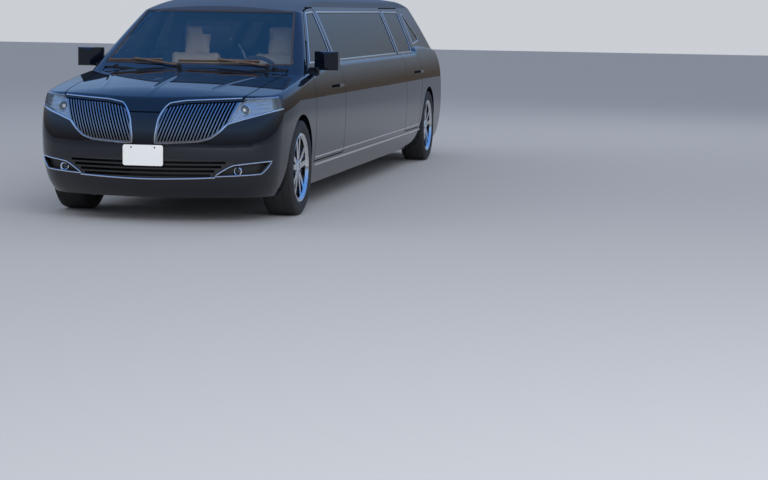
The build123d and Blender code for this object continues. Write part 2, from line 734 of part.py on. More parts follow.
# Sides, tail and roof
keep("roof", joined(roof_piece, gate_arms))
keep("rockers", sill_piece)
keep("stretch_sides", joined(panel_piece, rear_arms))
corner_lamp_space = front_prism(corner_lamp_outline, rx(-2000), rx(-930)) + front_prism(
    both_sides(corner_lamp_outline), rx(-2000), rx(-930)
)
quarter_piece = less(quarter_block, bumper_zone, roof_zone)
keep("quarters", less(quarter_piece, corner_lamp_space))
keep("tail_lamps", common(quarter_piece, corner_lamp_space))
tail_pipe_slots = [at_side(side, 182, 268, (rx(-1400), rx(-900)), (377, 448)) for side in (1, -1)]
keep("rear_bumper", less(tail_piece, *tail_pipe_slots))
keep("floor", less(floor_block, wheel_spaces))

# Doors
def left_door(block, outline, glass_outline, place, pockets):
    """Left door from its block: window cut, rim rebated under the skin, and pockets for the hinge arms."""
    rim = beside_left(outline, place) - beside_left(outline, place, rebate)
    return less(block, beside_left(glass_outline, place), common(under_skin, rim), *pockets)


def door_handle(x):
    """Pull bar on its two posts."""
    bar = box_between((x - 95, x + 95), (handle_y, handle_y + 16), (handle_height - 12, handle_height + 12))
    posts = [
        box_between((post, post + 20), (900, handle_y), (handle_height - 9, handle_height + 9))
        for post in (x - 80, x + 60)
    ]
    return [bar, *posts]


front_door = left_door(front_door_block, front_door_outline, front_glass_outline, fx, front_pockets[:2])
rear_door = left_door(rear_door_block, rear_door_outline, rear_glass_outline, rx, rear_pockets[:2])
keep_sides("door_front", joined(front_door, door_handle(fx(-1371))))
keep_sides("door_rear", joined(rear_door, door_handle(rx(594))))
gate = less(gate_block, gate_glass_space, common(under_skin, gate_space - gate_inner_space), *gate_pockets)
keep("liftgate", less(gate, gate_lamp_space))
keep("gate_lamp", common(gate, gate_lamp_space))

# Glass
keep("windshield", common(glass_sheet, screen_space), 1e3)
keep("fixed_side_glass", common(glass_sheet, side_window_space + quarter_glass_space), 1e3)
keep("liftgate_glass", common(glass_sheet, gate_glass_space), 1e3)
keep_sides("door_glass_front", common(glass_sheet, beside_left(front_glass_outline, fx)), 1e3)
keep_sides("door_glass_rear", common(glass_sheet, beside_left(rear_glass_outline, rx)), 1e3)

# Wheels: profiles as (radius, place across the wheel, positive outboard)
TYRE_PROFILE = [
    (bead_radius, -104), (268.5, -104), (274, -118), (304, -tyre_half_width), (338, -124), (362, -110),
    (tyre_radius, -88), (tyre_radius, 88), (362, 110), (338, 124), (304, tyre_half_width), (274, 118), (268.5, 104),
    (bead_radius, 104),
]
RIM_PROFILE = [
    (240, -112), (rim_radius, -112), (rim_radius, -104.3), (bead_radius - 0.3, -104.3), (bead_radius - 0.3, 104.3),
    (rim_radius, 104.3), (rim_radius, 112), (246, 112), (236, 96), (236, -96),
]
hub_inner, hub_outer, hub_radius = -22, 84, 78
spoke_front, spoke_depth, spoke_width, spoke_pair_angle = 92, 30, 40, 13
disc_place, disc_thickness = -14, 26
spindle_start, spindle_end = -48, 60
spindle_bore = spindle_radius + running_clearance


def turned(profile, x, side):
    """Turns a profile about an axle, outboard on the given side."""
    face = make_face(Polyline(*[(r, across, 0) for r, across in profile], close=True))
    ring = revolve(face, Axis.Y)
    return Pos(x, side * track / 2, tyre_radius) * (Rot(Z=0) if side > 0 else Rot(Z=180)) * ring


def wheel_rim(x, side):
    """Rim, twin spokes, hub and brake disc of one wheel."""
    solid = turned(RIM_PROFILE, x, side)
    hub = [(spindle_bore, hub_inner), (hub_radius, hub_inner), (hub_radius, hub_outer), (spindle_bore, hub_outer)]
    disc = [
        (60, disc_place), (disc_radius, disc_place), (disc_radius, disc_place + disc_thickness),
        (60, disc_place + disc_thickness),
    ]
    cap = [(0, hub_outer - 12), (hub_radius - 20, hub_outer - 12), (hub_radius - 20, hub_outer + 6), (0, hub_outer + 6)]
    solid = solid + turned(hub, x, side) + turned(disc, x, side) + turned(cap, x, side)
    middle = (spoke_front - spoke_depth / 2) * side
    for number in range(spoke_count):
        for pair in (-1, 1):
            turn = 90 + number * 360 / spoke_count + pair * spoke_pair_angle
            bar = Pos(150, middle, 0) * Box(176, spoke_depth, spoke_width)
            solid = solid + Pos(x, side * track / 2, tyre_radius) * Rot(Y=-turn) * bar
    return solid


SIDES = (("left", 1), ("right", -1))
AXLES = (("front", fx(0)), ("rear", rx(0)))
for axle_name, axle_x in AXLES:
    for side_name, side in SIDES:
        keep(f"tyre_{axle_name}_{side_name}", turned(TYRE_PROFILE, axle_x, side))
        keep(f"rim_{axle_name}_{side_name}", wheel_rim(axle_x, side))

# Knuckles and suspension
knuckle_low, knuckle_high, pin_radius, pin_length = 215, 523, 12, 30
upright_inner, upright_outer = 735, 775


def spindle(x, side):
    """Stub axle from the upright into the hub."""
    shaft = [(0, spindle_start), (spindle_radius, spindle_start), (spindle_radius, spindle_end), (0, spindle_end)]
    shoulder = [(0, upright_outer - track / 2 - 2), (34, upright_outer - track / 2 - 2), (34, hub_inner - 0.3),
                (0, hub_inner - 0.3)]
    return turned(shaft, x, side) + turned(shoulder, x, side)


def caliper(x, side):
    """Brake caliper reaching over the disc behind the axle, joined to the upright."""
    mid = track / 2 + disc_place + disc_thickness / 2
    body = at_side(side, mid - 45, mid + 45, (x - 196, x - 110), (300, 438))
    slot = at_side(side, mid - 19, mid + 19, (x - disc_radius - 8, x), (200, 500))
    arm = at_side(side, upright_inner, mid - 25, (x - 150, x), (345, 393))
    return (body - slot) + arm


for side_name, side in SIDES:
    block = at_side(side, upright_inner, upright_outer, (fx(-28), fx(28)), (knuckle_low, knuckle_high))
    bore = Cylinder(pin_radius + running_clearance, pin_length + 2)
    low_bore = Pos(fx(0), side * kingpin_offset, knuckle_low + pin_length / 2) * bore
    high_bore = Pos(fx(0), side * kingpin_offset, knuckle_high - pin_length / 2) * bore
    knuckle = block + spindle(fx(0), side) + caliper(fx(0), side)
    keep(f"knuckle_{side_name}", knuckle - low_bore - high_bore)

rail_inner, rail_outer = 400, 470
front_suspension = box_between((fx(-150), fx(150)), (-rail_inner, rail_inner), (185, 232))
rear_suspension = box_between((rx(-130), rx(130)), (-rail_inner, rail_inner), (290, 360))
for side_name, side in SIDES:
    front_suspension += at_side(side, rail_inner - 5, rail_outer, (fx(-60), fx(60)), (185, 290))
    front_suspension += at_side(side, rail_inner - 5, kingpin_offset + 24, (fx(-32), fx(32)), (185, knuckle_low - seat_gap))
    front_suspension += at_side(side, rail_inner + 20, rail_outer, (fx(-38), fx(38)), (370, 548))
    front_suspension += at_side(
        side, rail_outer - 5, kingpin_offset + 24, (fx(-26), fx(26)), (knuckle_high + seat_gap, 548)
    )
    pin = Cylinder(pin_radius, pin_length)
    front_suspension += Pos(fx(0), side * kingpin_offset, knuckle_low + pin_length / 2 - 1) * pin
    front_suspension += Pos(fx(0), side * kingpin_offset, knuckle_high - pin_length / 2 + 1) * pin
    rear_suspension += at_side(side, upright_inner - 20, upright_outer, (rx(-36), rx(36)), (205, 533))
    rear_suspension += at_side(side, rail_inner - 5, upright_inner, (rx(-34), rx(34)), (215, 245))
    rear_suspension += at_side(side, rail_inner - 5, rail_outer, (rx(-120), rx(120)), (215, 330))
    rear_suspension += at_side(side, rail_inner, rail_outer, (rx(-100), rx(100)), (330, 520))
    rear_suspension += at_side(side, rail_outer - 5, upright_inner, (rx(-26), rx(26)), (490, 518))
    rear_suspension += spindle(rx(0), side) + caliper(rx(0), side)
keep("front_suspension", front_suspension)
keep("rear_suspension", rear_suspension)

rail_outline = [
    (fx(700), 370), (fx(-290), 370), (fx(-408), floor_bottom), (rx(405), floor_bottom), (rx(250), 600),
    (rx(-900), 600), (rx(-900), 520), (rx(190), 520), (rx(340), 165), (fx(-370), 165), (fx(-250), 290), (fx(700), 290),
]
rails = side_prism(rail_outline, rail_inner, rail_outer) + side_prism(rail_outline, -rail_outer, -rail_inner)
for place in (fx(-900), fx(-1900), fx(-2900), fx(-3900), fx(-4900)):
    rails += box_between((place - 40, place + 40), (-rail_outer, rail_outer), (132, 158))
    rails += at_side(1, rail_inner, rail_outer, (place - 40, place + 40), (157, 166))
    rails += at_side(-1, rail_inner, rail_outer, (place - 40, place + 40), (157, 166))
keep("frame_rails", rails)

# Liners of the wheel houses
def liner(x, inner, house):
    """Thin lining of a wheel house: inner wall and arched cover on both sides."""
    arch = arch_lip
    space = round_space(x, house + liner_thickness, inner - liner_thickness, arch) - round_space(x, house, inner, reach)
    return space & box_between((x - 600, x + 600), (-arch, arch), (300, 900))


liners = liner(fx(0), 495, front_house_radius) + liner(rx(0), 640, arch_radius + 10)
for x, low, high in ((fx(0), knuckle_high - 12, 562), (rx(0), 480, 530), (rx(0), 200, 330)):
    liners = liners - box_between((x - 44, x + 44), (-700, 700), (low, high))
keep("wheel_liners", liners)

# Engine, exhaust, driveshaft and tank
keep("engine", box_between((fx(-330), fx(300)), (-330, 330), (292, 880)) + box_between(
    (fx(-120), fx(120)), (-395, 395), (232, 330)))
pipe_y, pipe_z, pipe_radius = -230, 196, 32
exhaust_path = Polyline(
    (fx(-200), pipe_y, 250), (fx(-380), pipe_y, pipe_z), (rx(330), pipe_y, pipe_z), (rx(215), pipe_y, 440),
    (rx(-420), pipe_y, 440),
)
pipe_start = Plane(origin=exhaust_path @ 0, z_dir=exhaust_path % 0)
exhaust = sweep(pipe_start * Circle(pipe_radius), path=exhaust_path, transition=Transition.RIGHT)
exhaust += box_between((rx(-860), rx(-400)), (-420, 320), (370, 520))
for place in (fx(-1400), fx(-2400), fx(-3400), fx(-4400)):
    exhaust += box_between((place - 15, place + 15), (pipe_y - 12, pipe_y + 12), (pipe_z, floor_bottom))
exhaust += box_between((rx(-700), rx(-560)), (-60, 60), (519, 600))
for side_name, side in SIDES:
    exhaust += at_side(side, 190, 260, (rx(-1190), rx(-800)), (385, 440))
keep("exhaust", exhaust)
shaft_front, shaft_rear, shaft_height = fx(-400), rx(160), 203
driveshaft = Pos((shaft_front + shaft_rear) / 2, 0, shaft_height) * Rot(Y=90) * Cylinder(34, shaft_front - shaft_rear)
for place in (fx(-1650), fx(-2650), fx(-3650), fx(-4650)):
    driveshaft += box_between((place - 25, place + 25), (-48, 48), (shaft_height - 10, floor_bottom))
keep("driveshaft", driveshaft)
keep("radiator", box_between((fx(600), fx(650)), (-520, 520), (370.3, 850)))
keep("fuel_tank", box_between((rx(520), rx(1060)), (50, 385), (120, floor_bottom)))

# Cabin
dash_outline = [(-450, 620), (-450, 1078), (-560, 1104), (-740, 1092), (-830, 1010), (-800, 880), (-690, 640)]
dashboard = side_prism([(fx(x), z) for x, z in dash_outline], -780, 780)
dashboard += box_between((fx(-1180), fx(-650)), (-100, 100), (floor_top, 700))
dashboard += side_prism([(fx(x), z) for x, z in [(-780, 1000), (-780, 950), (-910, 1000), (-925, 1040)]], 330, 410)
keep("dashboard", dashboard)
wheel_plane = Plane(origin=(fx(-930), 370, 1022), z_dir=(-0.9, 0, 0.42))
rim_section = Plane(origin=(182, 0, 0), z_dir=(0, 1, 0)) * RegularPolygon(15, 8)
steering = wheel_plane * revolve(rim_section, Axis.Z) + wheel_plane * Cylinder(46, 34)
for turn in (0, 180, 270):
    steering += wheel_plane * Rot(Z=turn) * Pos(105, 0, 0) * Box(150, 34, 14)
keep("steering_wheel", steering - dashboard)


def chair(x, y, half):
    """Seat facing forward: base, cushion, back and headrest."""
    base = box_between((x - 420, x), (y - half + 40, y + half - 40), (floor_top, 470))
    cushion = side_prism([(x + 60, 470), (x + 60, 610), (x - 460, 560), (x - 460, 470)], y - half, y + half)
    back = side_prism([(x - 330, 585), (x - 450, 561), (x - 640, 1200), (x - 540, 1230)], y - half + 15, y + half - 15)
    post = side_prism([(x - 575, 1180), (x - 595, 1180), (x - 620, 1310), (x - 600, 1310)], y - 60, y + 60)
    rest = side_prism([(x - 560, 1280), (x - 660, 1265), (x - 690, 1430), (x - 600, 1445)], y - 130, y + 130)
    return base + cushion + back + post + rest


keep("front_seats", chair(fx(-1110), 370, 255) + chair(fx(-1110), -370, 255))
partition_rear, partition_front = fx(-1900), fx(-1860)
partition_outline = [(-745, floor_top), (-745, 1060), (-610, 1560), (610, 1560), (745, 1060), (745, floor_top)]
partition_window = [(-590, 1060), (-520, 1470), (520, 1470), (590, 1060)]
partition = front_prism(partition_outline, partition_rear, partition_front)
keep("partition", partition - front_prism(partition_window, partition_rear - 10, partition_front + 10))
bench = box_between((fx(-4500), fx(-2150)), (-780, -330), (floor_top, 640)) + box_between(
    (fx(-4500), fx(-2150)), (-780, -670), (640, 1060)
)
rear_bench = side_prism([(rx(1000), floor_top), (rx(1000), 660), (rx(560), 630), (rx(470), 1230), (rx(450 + seat_gap), 1215),
                         (rx(450 + seat_gap), floor_top)], -620, 620)
keep("lounge_seats", bench + rear_bench)
keep("bar_cabinet", box_between((fx(-4200), fx(-2400)), (470, 780), (floor_top, 1040)))

# Door mirrors
mirror_plan = [(-640, 985), (-662, 1089), (-760, 1089), (-760, 886), (-700, 886)]
mirror_profile = [(-640, mirror_low), (-640, mirror_low + 150), (-760, mirror_low + 150), (-760, mirror_low)]
plan_face = make_face(Polyline(*[(fx(x), y, 1000) for x, y in mirror_plan], close=True))
shell = extrude(fillet(plan_face.vertices(), 20), amount=400, dir=(0, 0, 1))
shell = shell & side_prism([(fx(x), z) for x, z in mirror_profile], 800, 1200, 32)
stalk = box_between((fx(-725), fx(-670)), (855, 935), (mirror_low - 40, mirror_low + 22))
keep_sides("mirror", less(shell + stalk, lower_block, upper_block))

os.makedirs("parts", exist_ok=True)
for part_name, part_shape in PARTS.items():
    export_step(part_shape, f"parts/{part_name}.step")
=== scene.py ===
import json
import logging
import math
from dataclasses import dataclass, field
from enum import Enum
from typing import Any, Callable, Iterable, Sequence

import bmesh
import bpy
from bpy.types import Object
from mathutils import Matrix, Vector
from mathutils.bvhtree import BVHTree


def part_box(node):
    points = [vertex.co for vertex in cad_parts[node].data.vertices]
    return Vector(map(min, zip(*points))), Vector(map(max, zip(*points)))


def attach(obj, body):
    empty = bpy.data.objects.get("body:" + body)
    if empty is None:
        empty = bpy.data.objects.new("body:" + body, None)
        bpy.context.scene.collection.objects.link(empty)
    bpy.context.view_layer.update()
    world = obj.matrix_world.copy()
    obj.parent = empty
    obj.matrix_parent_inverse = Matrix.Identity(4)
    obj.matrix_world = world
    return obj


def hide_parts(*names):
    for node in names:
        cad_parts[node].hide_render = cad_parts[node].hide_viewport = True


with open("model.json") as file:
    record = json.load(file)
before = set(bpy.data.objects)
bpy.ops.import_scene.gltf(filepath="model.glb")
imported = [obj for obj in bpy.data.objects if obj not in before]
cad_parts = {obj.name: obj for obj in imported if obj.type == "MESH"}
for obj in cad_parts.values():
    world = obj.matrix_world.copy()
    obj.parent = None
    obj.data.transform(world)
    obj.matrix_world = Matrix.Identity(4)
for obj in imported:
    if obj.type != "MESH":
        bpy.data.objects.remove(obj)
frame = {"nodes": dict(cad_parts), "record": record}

LOG = logging.getLogger("limousine")
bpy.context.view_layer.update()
Triple = tuple[float, float, float]
Colour = tuple[float, float, float, float]
Pair = tuple[float, float]
Outline = Sequence[Pair]
Path = list[tuple[Vector, Vector]]

WHEELBASE = 6.043
FRONT_AXLE = 3.1105
REAR_AXLE = FRONT_AXLE - WHEELBASE
AXLE_HEIGHT = 0.369
TRACK = 1.661
SHARP_ANGLE = math.radians(35)
WELD = 1e-6


class Named(Enum):
    """Members that bodies and nodes are named after."""

    @property
    def word(self) -> str:
        """The name as the bodies and nodes spell it."""
        return self.name.lower()


class Side(Named):
    """The two sides of the car; the value is the sign of Y."""

    LEFT = 1
    RIGHT = -1


class Axle(Named):
    """The two axles; the value is their place along X."""

    FRONT = FRONT_AXLE
    REAR = REAR_AXLE


def operator(operation: str, swapped: bool = False) -> Callable[..., "Wave"]:
    """Makes a method that adds one Math node to a wave and another value.

    Args:
        operation: The node's operation.
        swapped: Whether the other value comes first.

    Returns:
        The method.
    """
    def method(wave: "Wave", *others: Any) -> "Wave":
        """Adds the node and returns its result."""
        return wave.maths(operation, *((*others, wave) if swapped else (wave, *others)))

    return method


class Wave:
    """A node socket that adds Math nodes when it is used in an expression."""

    def __init__(self, shader: "Shader", socket: Any) -> None:
        """Wraps a socket.

        Args:
            shader: The shader whose tree the socket is in.
            socket: The output socket.
        """
        self.shader = shader
        self.socket = socket

    def maths(self, operation: str, *values: Any) -> "Wave":
        """Adds one Math node.

        Args:
            operation: The node's operation.
            values: Its inputs, numbers or waves.

        Returns:
            The node's result.
        """
        return self.shader.node("ShaderNodeMath", {"operation": operation}, dict(enumerate(values)))

    __add__, __sub__, __mul__ = operator("ADD"), operator("SUBTRACT"), operator("MULTIPLY")
    __rsub__, __abs__ = operator("SUBTRACT", swapped=True), operator("ABSOLUTE")
    __gt__, __mod__, angle = operator("GREATER_THAN"), operator("FLOORED_MODULO"), operator("ARCTAN2")

    def length(self, other: "Wave") -> "Wave":
        """Distance of (self, other) from the origin."""
        return self.maths("SQRT", self * self + other * other)

    def clamped(self) -> "Wave":
        """The value kept from 0 to 1."""
        return self.maths("MINIMUM", self.maths("MAXIMUM", self, 0.0), 1.0)


class Shader:
    """A material's node tree with a Principled shader to feed."""

    def __init__(self, name: str) -> None:
        """Makes the material.

        Args:
            name: The material's name.
        """
        self.material = bpy.data.materials.new(name)
        self.material.use_nodes = True
        self.tree = self.material.node_tree
        self.principled = self.tree.nodes["Principled BSDF"]

    @classmethod
    def of_world(cls, world: bpy.types.World) -> "Shader":
        """Wraps a world's tree, which has no Principled shader."""
        made = cls.__new__(cls)
        made.tree = world.node_tree
        return made

    def node(self, kind: str, settings: dict[str, Any] | None = None,
             inputs: dict[Any, Any] | None = None, output: Any = 0) -> Wave:
        """Adds a node of any type.

        Args:
            kind: The node's type.
            settings: Attributes to set before its sockets; stops is a ramp's list of places and colours.
            inputs: Values or waves for its sockets, by name or number.
            output: The output to return.

        Returns:
            The chosen output.
        """
        made = self.tree.nodes.new(kind)
        for key, value in (settings or {}).items():
            if key == "stops":
                ramp = made.color_ramp.elements
                while len(ramp) < len(value):
                    ramp.new(0.5)
                for stop, (place, colour) in zip(ramp, value):
                    stop.position = place
                    stop.color = colour
            else:
                setattr(made, key, value)
        for key, value in (inputs or {}).items():
            self.feed(key, value, made)
        return Wave(self, made.outputs[output])

    def place(self) -> Wave:
        """Object coordinates."""
        return self.node("ShaderNodeTexCoord", output="Object")

    def axes(self) -> tuple[Wave, Wave, Wave]:
        """Object coordinates as three waves."""
        split = {"Vector": self.place()}
        return tuple(self.node("ShaderNodeSeparateXYZ", {}, split, output=axis) for axis in "XYZ")

    def noise(self, scale: float, detail: float = 3.0) -> Wave:
        """Noise over the object's coordinates.

        Args:
            scale: Waves to the metre.
            detail: Octaves.

        Returns:
            The noise's value.
        """
        return self.node("ShaderNodeTexNoise", {}, {"Vector": self.place(), "Scale": scale, "Detail": detail})

    def feed(self, name: Any, value: Any, node: bpy.types.Node | None = None) -> None:
        """Sets or links an input.

        Args:
            name: The input's name or number.
            value: A number, colour or wave.
            node: The node, or None for the Principled shader.
        """
        socket = (node or self.principled).inputs[name]
        if isinstance(value, Wave):
            self.tree.links.new(value.socket, socket)
        else:
            socket.default_value = value

    def bump(self, height: Wave, distance: float) -> None:
        """Feeds Normal from a height.

        Args:
            height: The height's wave.
            distance: Its depth in metres.
        """
        inputs = {"Height": height, "Distance": distance, "Strength": 1.0}
        self.feed("Normal", self.node("ShaderNodeBump", {}, inputs))

    def tint(self, mask: Wave, low: Colour | Wave, high: Colour | Wave) -> Wave:
        """Mixes two colours by a mask.

        Args:
            mask: 0 for the low colour and 1 for the high one.
            low: First colour, or its wave.
            high: Second colour, or its wave.

        Returns:
            The mixed colour.
        """
        return self.node("ShaderNodeMix", {"data_type": "RGBA"}, {0: mask, 6: low, 7: high}, output=2)


@dataclass(frozen=True)
class Finish:
    """A surface: colour, gloss and the grain that shows close by."""

    name: str
    slot: str
    low: Triple
    high: Triple
    roughness: float
    metallic: float = 0.0
    coat: float = 0.0
    grain_scale: float = 60.0
    grain_depth: float = 0.0
    roughness_spread: float = 0.05
    alpha: float = 1.0
    sheen: float = 0.0
    specular: float = 0.5
    coat_ior: float = 1.5

    def material(self) -> bpy.types.Material:
        """Builds the material once and returns it."""
        label = f"{self.name}_surface"
        known = bpy.data.materials.get(label)
        if known is not None:
            return known
        shader = Shader(label)
        grain = shader.noise(self.grain_scale)
        for name, value in (
            ("Base Color", shader.tint(grain, (*self.low, 1.0), (*self.high, 1.0))),
            ("Roughness", grain * self.roughness_spread + (self.roughness - self.roughness_spread / 2)),
            ("Metallic", self.metallic), ("Coat Weight", self.coat), ("Coat Roughness", 0.02),
            ("Coat IOR", self.coat_ior), ("Specular IOR Level", self.specular), ("Alpha", self.alpha),
            ("Sheen Weight", self.sheen),
        ):
            shader.feed(name, value)
        if self.grain_depth:
            shader.bump(grain, self.grain_depth)
        self.decorate(shader)
        return shader.material

    def decorate(self, shader: Shader) -> None:
        """Adds what only this finish has; the plain one has nothing more."""


@dataclass(frozen=True)
class TreadRubber(Finish):
    """Tyre rubber with tread grooves on the crown and rings on the side walls."""

    axle_place: float = 0.0
    tread_radius: float = 0.360
    groove_pitch: float = 0.052
    shoulder_place: float = 0.052
    ring_pitch: float = 0.022
    ring_share: float = 0.15
    blocks: int = 68
    tread_depth: float = 0.006

    def decorate(self, shader: Shader) -> None:
        """Adds the tread."""
        x, y, z = shader.axes()
        along, up = x - self.axle_place, z - AXLE_HEIGHT
        radius = along.length(up)
        crown = radius > self.tread_radius
        across = abs(abs(y) - TRACK / 2)
        groove = abs((across + self.groove_pitch * 0.75) % self.groove_pitch - self.groove_pitch / 2)
        sipe = abs((up.angle(along) * (self.blocks / math.tau) + across * 9.0) % 1.0 - 0.5)
        shoulder = across > self.shoulder_place
        tread = (groove * 220.0 - 0.55).clamped() * (1.0 - (1.0 - (sipe * 9.0 - 0.5).clamped()) * shoulder)
        rings = abs(radius % self.ring_pitch - self.ring_pitch / 2) > 0.0095
        shader.bump(crown * tread + (1.0 - crown) * rings * self.ring_share, self.tread_depth)


PAINT = Finish("black_paint", "black_paint", (0.0015, 0.0025, 0.006), (0.003, 0.005, 0.011), 0.4, coat=1.0,
               grain_scale=900.0, specular=0.0, coat_ior=1.6)
ROOF = Finish("roof_skin", "roof_vinyl", (0.03, 0.032, 0.038), (0.036, 0.038, 0.045), 0.42, grain_scale=300.0,
              grain_depth=0.0002)
CHROME = Finish("chrome", "chrome", (0.82, 0.83, 0.85), (0.86, 0.87, 0.88), 0.08, metallic=1.0)
DARK_CHROME = Finish("grille_chrome", "chrome", (0.30, 0.31, 0.34), (0.36, 0.37, 0.40), 0.18, metallic=1.0)
DARK_GLASS = Finish("tinted_glass", "tinted_glass", (0.006, 0.008, 0.007), (0.009, 0.011, 0.009), 0.05, coat=1.0,
                    roughness_spread=0.0, alpha=0.88, specular=0.0, coat_ior=1.45)
CLEAR_GLASS = Finish("clear_glass", "clear_glass", (0.20, 0.26, 0.30), (0.22, 0.28, 0.32), 0.03, coat=1.0,
                     roughness_spread=0.0, alpha=0.14, coat_ior=2.0)
SCREEN_GLASS = Finish("screen_glass", "clear_glass", (0.006, 0.050, 0.120), (0.008, 0.055, 0.130), 0.03, coat=1.0,
                      roughness_spread=0.0, alpha=0.20, coat_ior=1.8)
TREADS = {axle: TreadRubber(f"tread_rubber_{axle.word}", "tyre", (0.016, 0.016, 0.017), (0.026, 0.026, 0.027),
                            0.72, axle_place=axle.value) for axle in Axle}
RUBBER = Finish("tyre_rubber", "tyre", (0.018, 0.018, 0.018), (0.03, 0.03, 0.03), 0.75, grain_depth=0.0003)
ALLOY = Finish("bright_alloy", "bright_alloy", (0.72, 0.73, 0.75), (0.78, 0.79, 0.8), 0.14, metallic=1.0)
BLACK_PLASTIC = Finish("black_plastic", "black_plastic", (0.015, 0.015, 0.016), (0.025, 0.025, 0.026), 0.55,
                       grain_scale=700.0, grain_depth=0.0002)
STEEL = Finish("dark_steel", "steel", (0.05, 0.05, 0.052), (0.11, 0.1, 0.095), 0.5, metallic=0.7,
               grain_scale=25.0, grain_depth=0.0004)
RED_LENS = Finish("red_lens", "red_plastic", (0.3, 0.005, 0.01), (0.36, 0.008, 0.012), 0.08, coat=1.0)
LAMP = Finish("lamp_shell", "lamp_plastic", (0.40, 0.46, 0.54), (0.62, 0.68, 0.75), 0.2, metallic=0.85,
              grain_scale=30.0)
DUSTY_RUBBER = Finish("wiper_rubber", "black_plastic", (0.045, 0.032, 0.026), (0.16, 0.11, 0.085), 0.8,
                      grain_scale=35.0, grain_depth=0.0003)
SEAL = Finish("screen_seal", "black_plastic", (0.030, 0.022, 0.018), (0.055, 0.042, 0.034), 0.5)
LEATHER = Finish("cream_leather", "cream_leather", (0.70, 0.62, 0.46), (0.78, 0.70, 0.54), 0.45,
                 grain_scale=500.0, grain_depth=0.0006, sheen=0.15)
PLATE = Finish("plate_white", "lamp_plastic", (0.72, 0.74, 0.76), (0.78, 0.8, 0.82), 0.35, grain_scale=120.0)
MIRROR = Finish("mirror_glass", "chrome", (0.85, 0.88, 0.9), (0.88, 0.9, 0.92), 0.03, metallic=1.0)
LENS = Finish("dark_lens", "black_plastic", (0.010, 0.014, 0.020), (0.014, 0.020, 0.028), 0.10, coat=1.0)
TRIM = Finish("dark_trim", "dark_trim", (0.035, 0.03, 0.028), (0.05, 0.045, 0.04), 0.6, grain_scale=500.0,
              grain_depth=0.0003)
CARPET = Finish("carpet", "carpet", (0.03, 0.028, 0.026), (0.06, 0.055, 0.05), 0.95, grain_scale=400.0,
                grain_depth=0.002, sheen=0.3)


def as_object(name: str, mesh: bmesh.types.BMesh, outward: bool = True) -> Object:
    """Turns a bmesh into an object at the origin.

    Args:
        name: The object's name.
        mesh: The bmesh, which is freed.
        outward: Whether its faces are turned outward first.

    Returns:
        The object, linked to the scene.
    """
    if outward:
        bmesh.ops.recalc_face_normals(mesh, faces=mesh.faces[:])
    data = bpy.data.meshes.new(name)
    mesh.to_mesh(data)
    mesh.free()
    made = bpy.data.objects.new(name, data)
    bpy.context.scene.collection.objects.link(made)
    return made


@dataclass
class Skin:
    """The CAD surfaces that trim is laid on."""

    nodes: Sequence[str]

    def __post_init__(self) -> None:
        """Joins the nodes' meshes in one search tree."""
        points: list[Vector] = []
        faces: list[list[int]] = []
        for name in self.nodes:
            mesh = frame["nodes"][name].data
            start = len(points)
            points += [vertex.co.copy() for vertex in mesh.vertices]
            faces += [[start + index for index in polygon.vertices] for polygon in mesh.polygons]
        self.tree = BVHTree.FromPolygons(points, faces)

    def meet(self, start: Sequence[float], way: Sequence[float]) -> tuple[Vector, Vector] | None:
        """Follows a line to the surface.

        Args:
            start: Where the line starts.
            way: Its direction.

        Returns:
            The point met and the outward normal, or None.
        """
        direction = Vector(way).normalized()
        place, normal, _, _ = self.tree.ray_cast(Vector(start), direction)
        if place is None:
            return None
        return place, (normal if normal.dot(direction) < 0 else -normal)

    def front(self, outline: Iterable[Pair]) -> Path:
        """Lays a front view outline of (y, z) points on the surface."""
        return self._all(((6.0, y, z), (-1.0, 0.0, 0.0)) for y, z in outline)

    def back(self, outline: Iterable[Pair]) -> Path:
        """Lays a rear view outline of (y, z) points on the surface."""
        return self._all(((-6.0, y, z), (1.0, 0.0, 0.0)) for y, z in outline)

    def top(self, outline: Iterable[Pair]) -> Path:
        """Lays a top view outline of (x, y) points on the surface."""
        return self._all(((x, y, 3.0), (0.0, 0.0, -1.0)) for x, y in outline)

    def side(self, outline: Iterable[Pair], side: Side) -> Path:
        """Lays a side view outline of (x, z) points on one side's surface."""
        return self._all(((x, 3.0 * side.value, z), (0.0, -float(side.value), 0.0)) for x, z in outline)

    def _all(self, lines: Iterable[tuple[Triple, Triple]]) -> Path:
        """Meets many lines and drops those that miss."""
        return [hit for hit in (self.meet(start, way) for start, way in lines) if hit is not None]


def curved(points: Outline, step: float, closed: bool = False, tension: float = 1.0) -> Outline:
    """Smooth outline through points, sampled at even steps.

    Args:
        points: The outline's points.
        step: Distance between samples.
        closed: Whether it returns to its first point.
        tension: 1 for a smooth curve and 0 for straight runs.

    Returns:
        The samples.
    """
    count = len(points)
    result: Outline = []
    for index in range(count if closed else count - 1):
        around = [points[(index + k) % count] if closed else points[min(max(index + k, 0), count - 1)]
                  for k in (-1, 0, 1, 2)]
        a, b, c, d = (Vector(p) for p in around)
        pieces = max(1, round((c - b).length / step))
        for k in range(pieces):
            t = k / pieces
            curve = 0.5 * (2 * b + (c - a) * t + (2 * a - 5 * b + 4 * c - d) * t ** 2
                           + (3 * b - a - 3 * c + d) * t ** 3)
            result.append(tuple(curve.lerp(b.lerp(c, t), 1.0 - tension)))
    if not closed:
        result.append(tuple(points[-1]))
    return result


def headings(line: Sequence[Vector], loop: bool) -> list[Vector]:
    """Directions along a line at each of its points.

    Args:
        line: The points.
        loop: Whether the line returns to its first point.

    Returns:
        One direction to a point.
    """
    last = len(line) - 1
    around = [((k - 1) % (last + 1), (k + 1) % (last + 1)) if loop else (max(k - 1, 0), min(k + 1, last))
              for k in range(last + 1)]
    return [(line[after] - line[before]).normalized() for before, after in around]


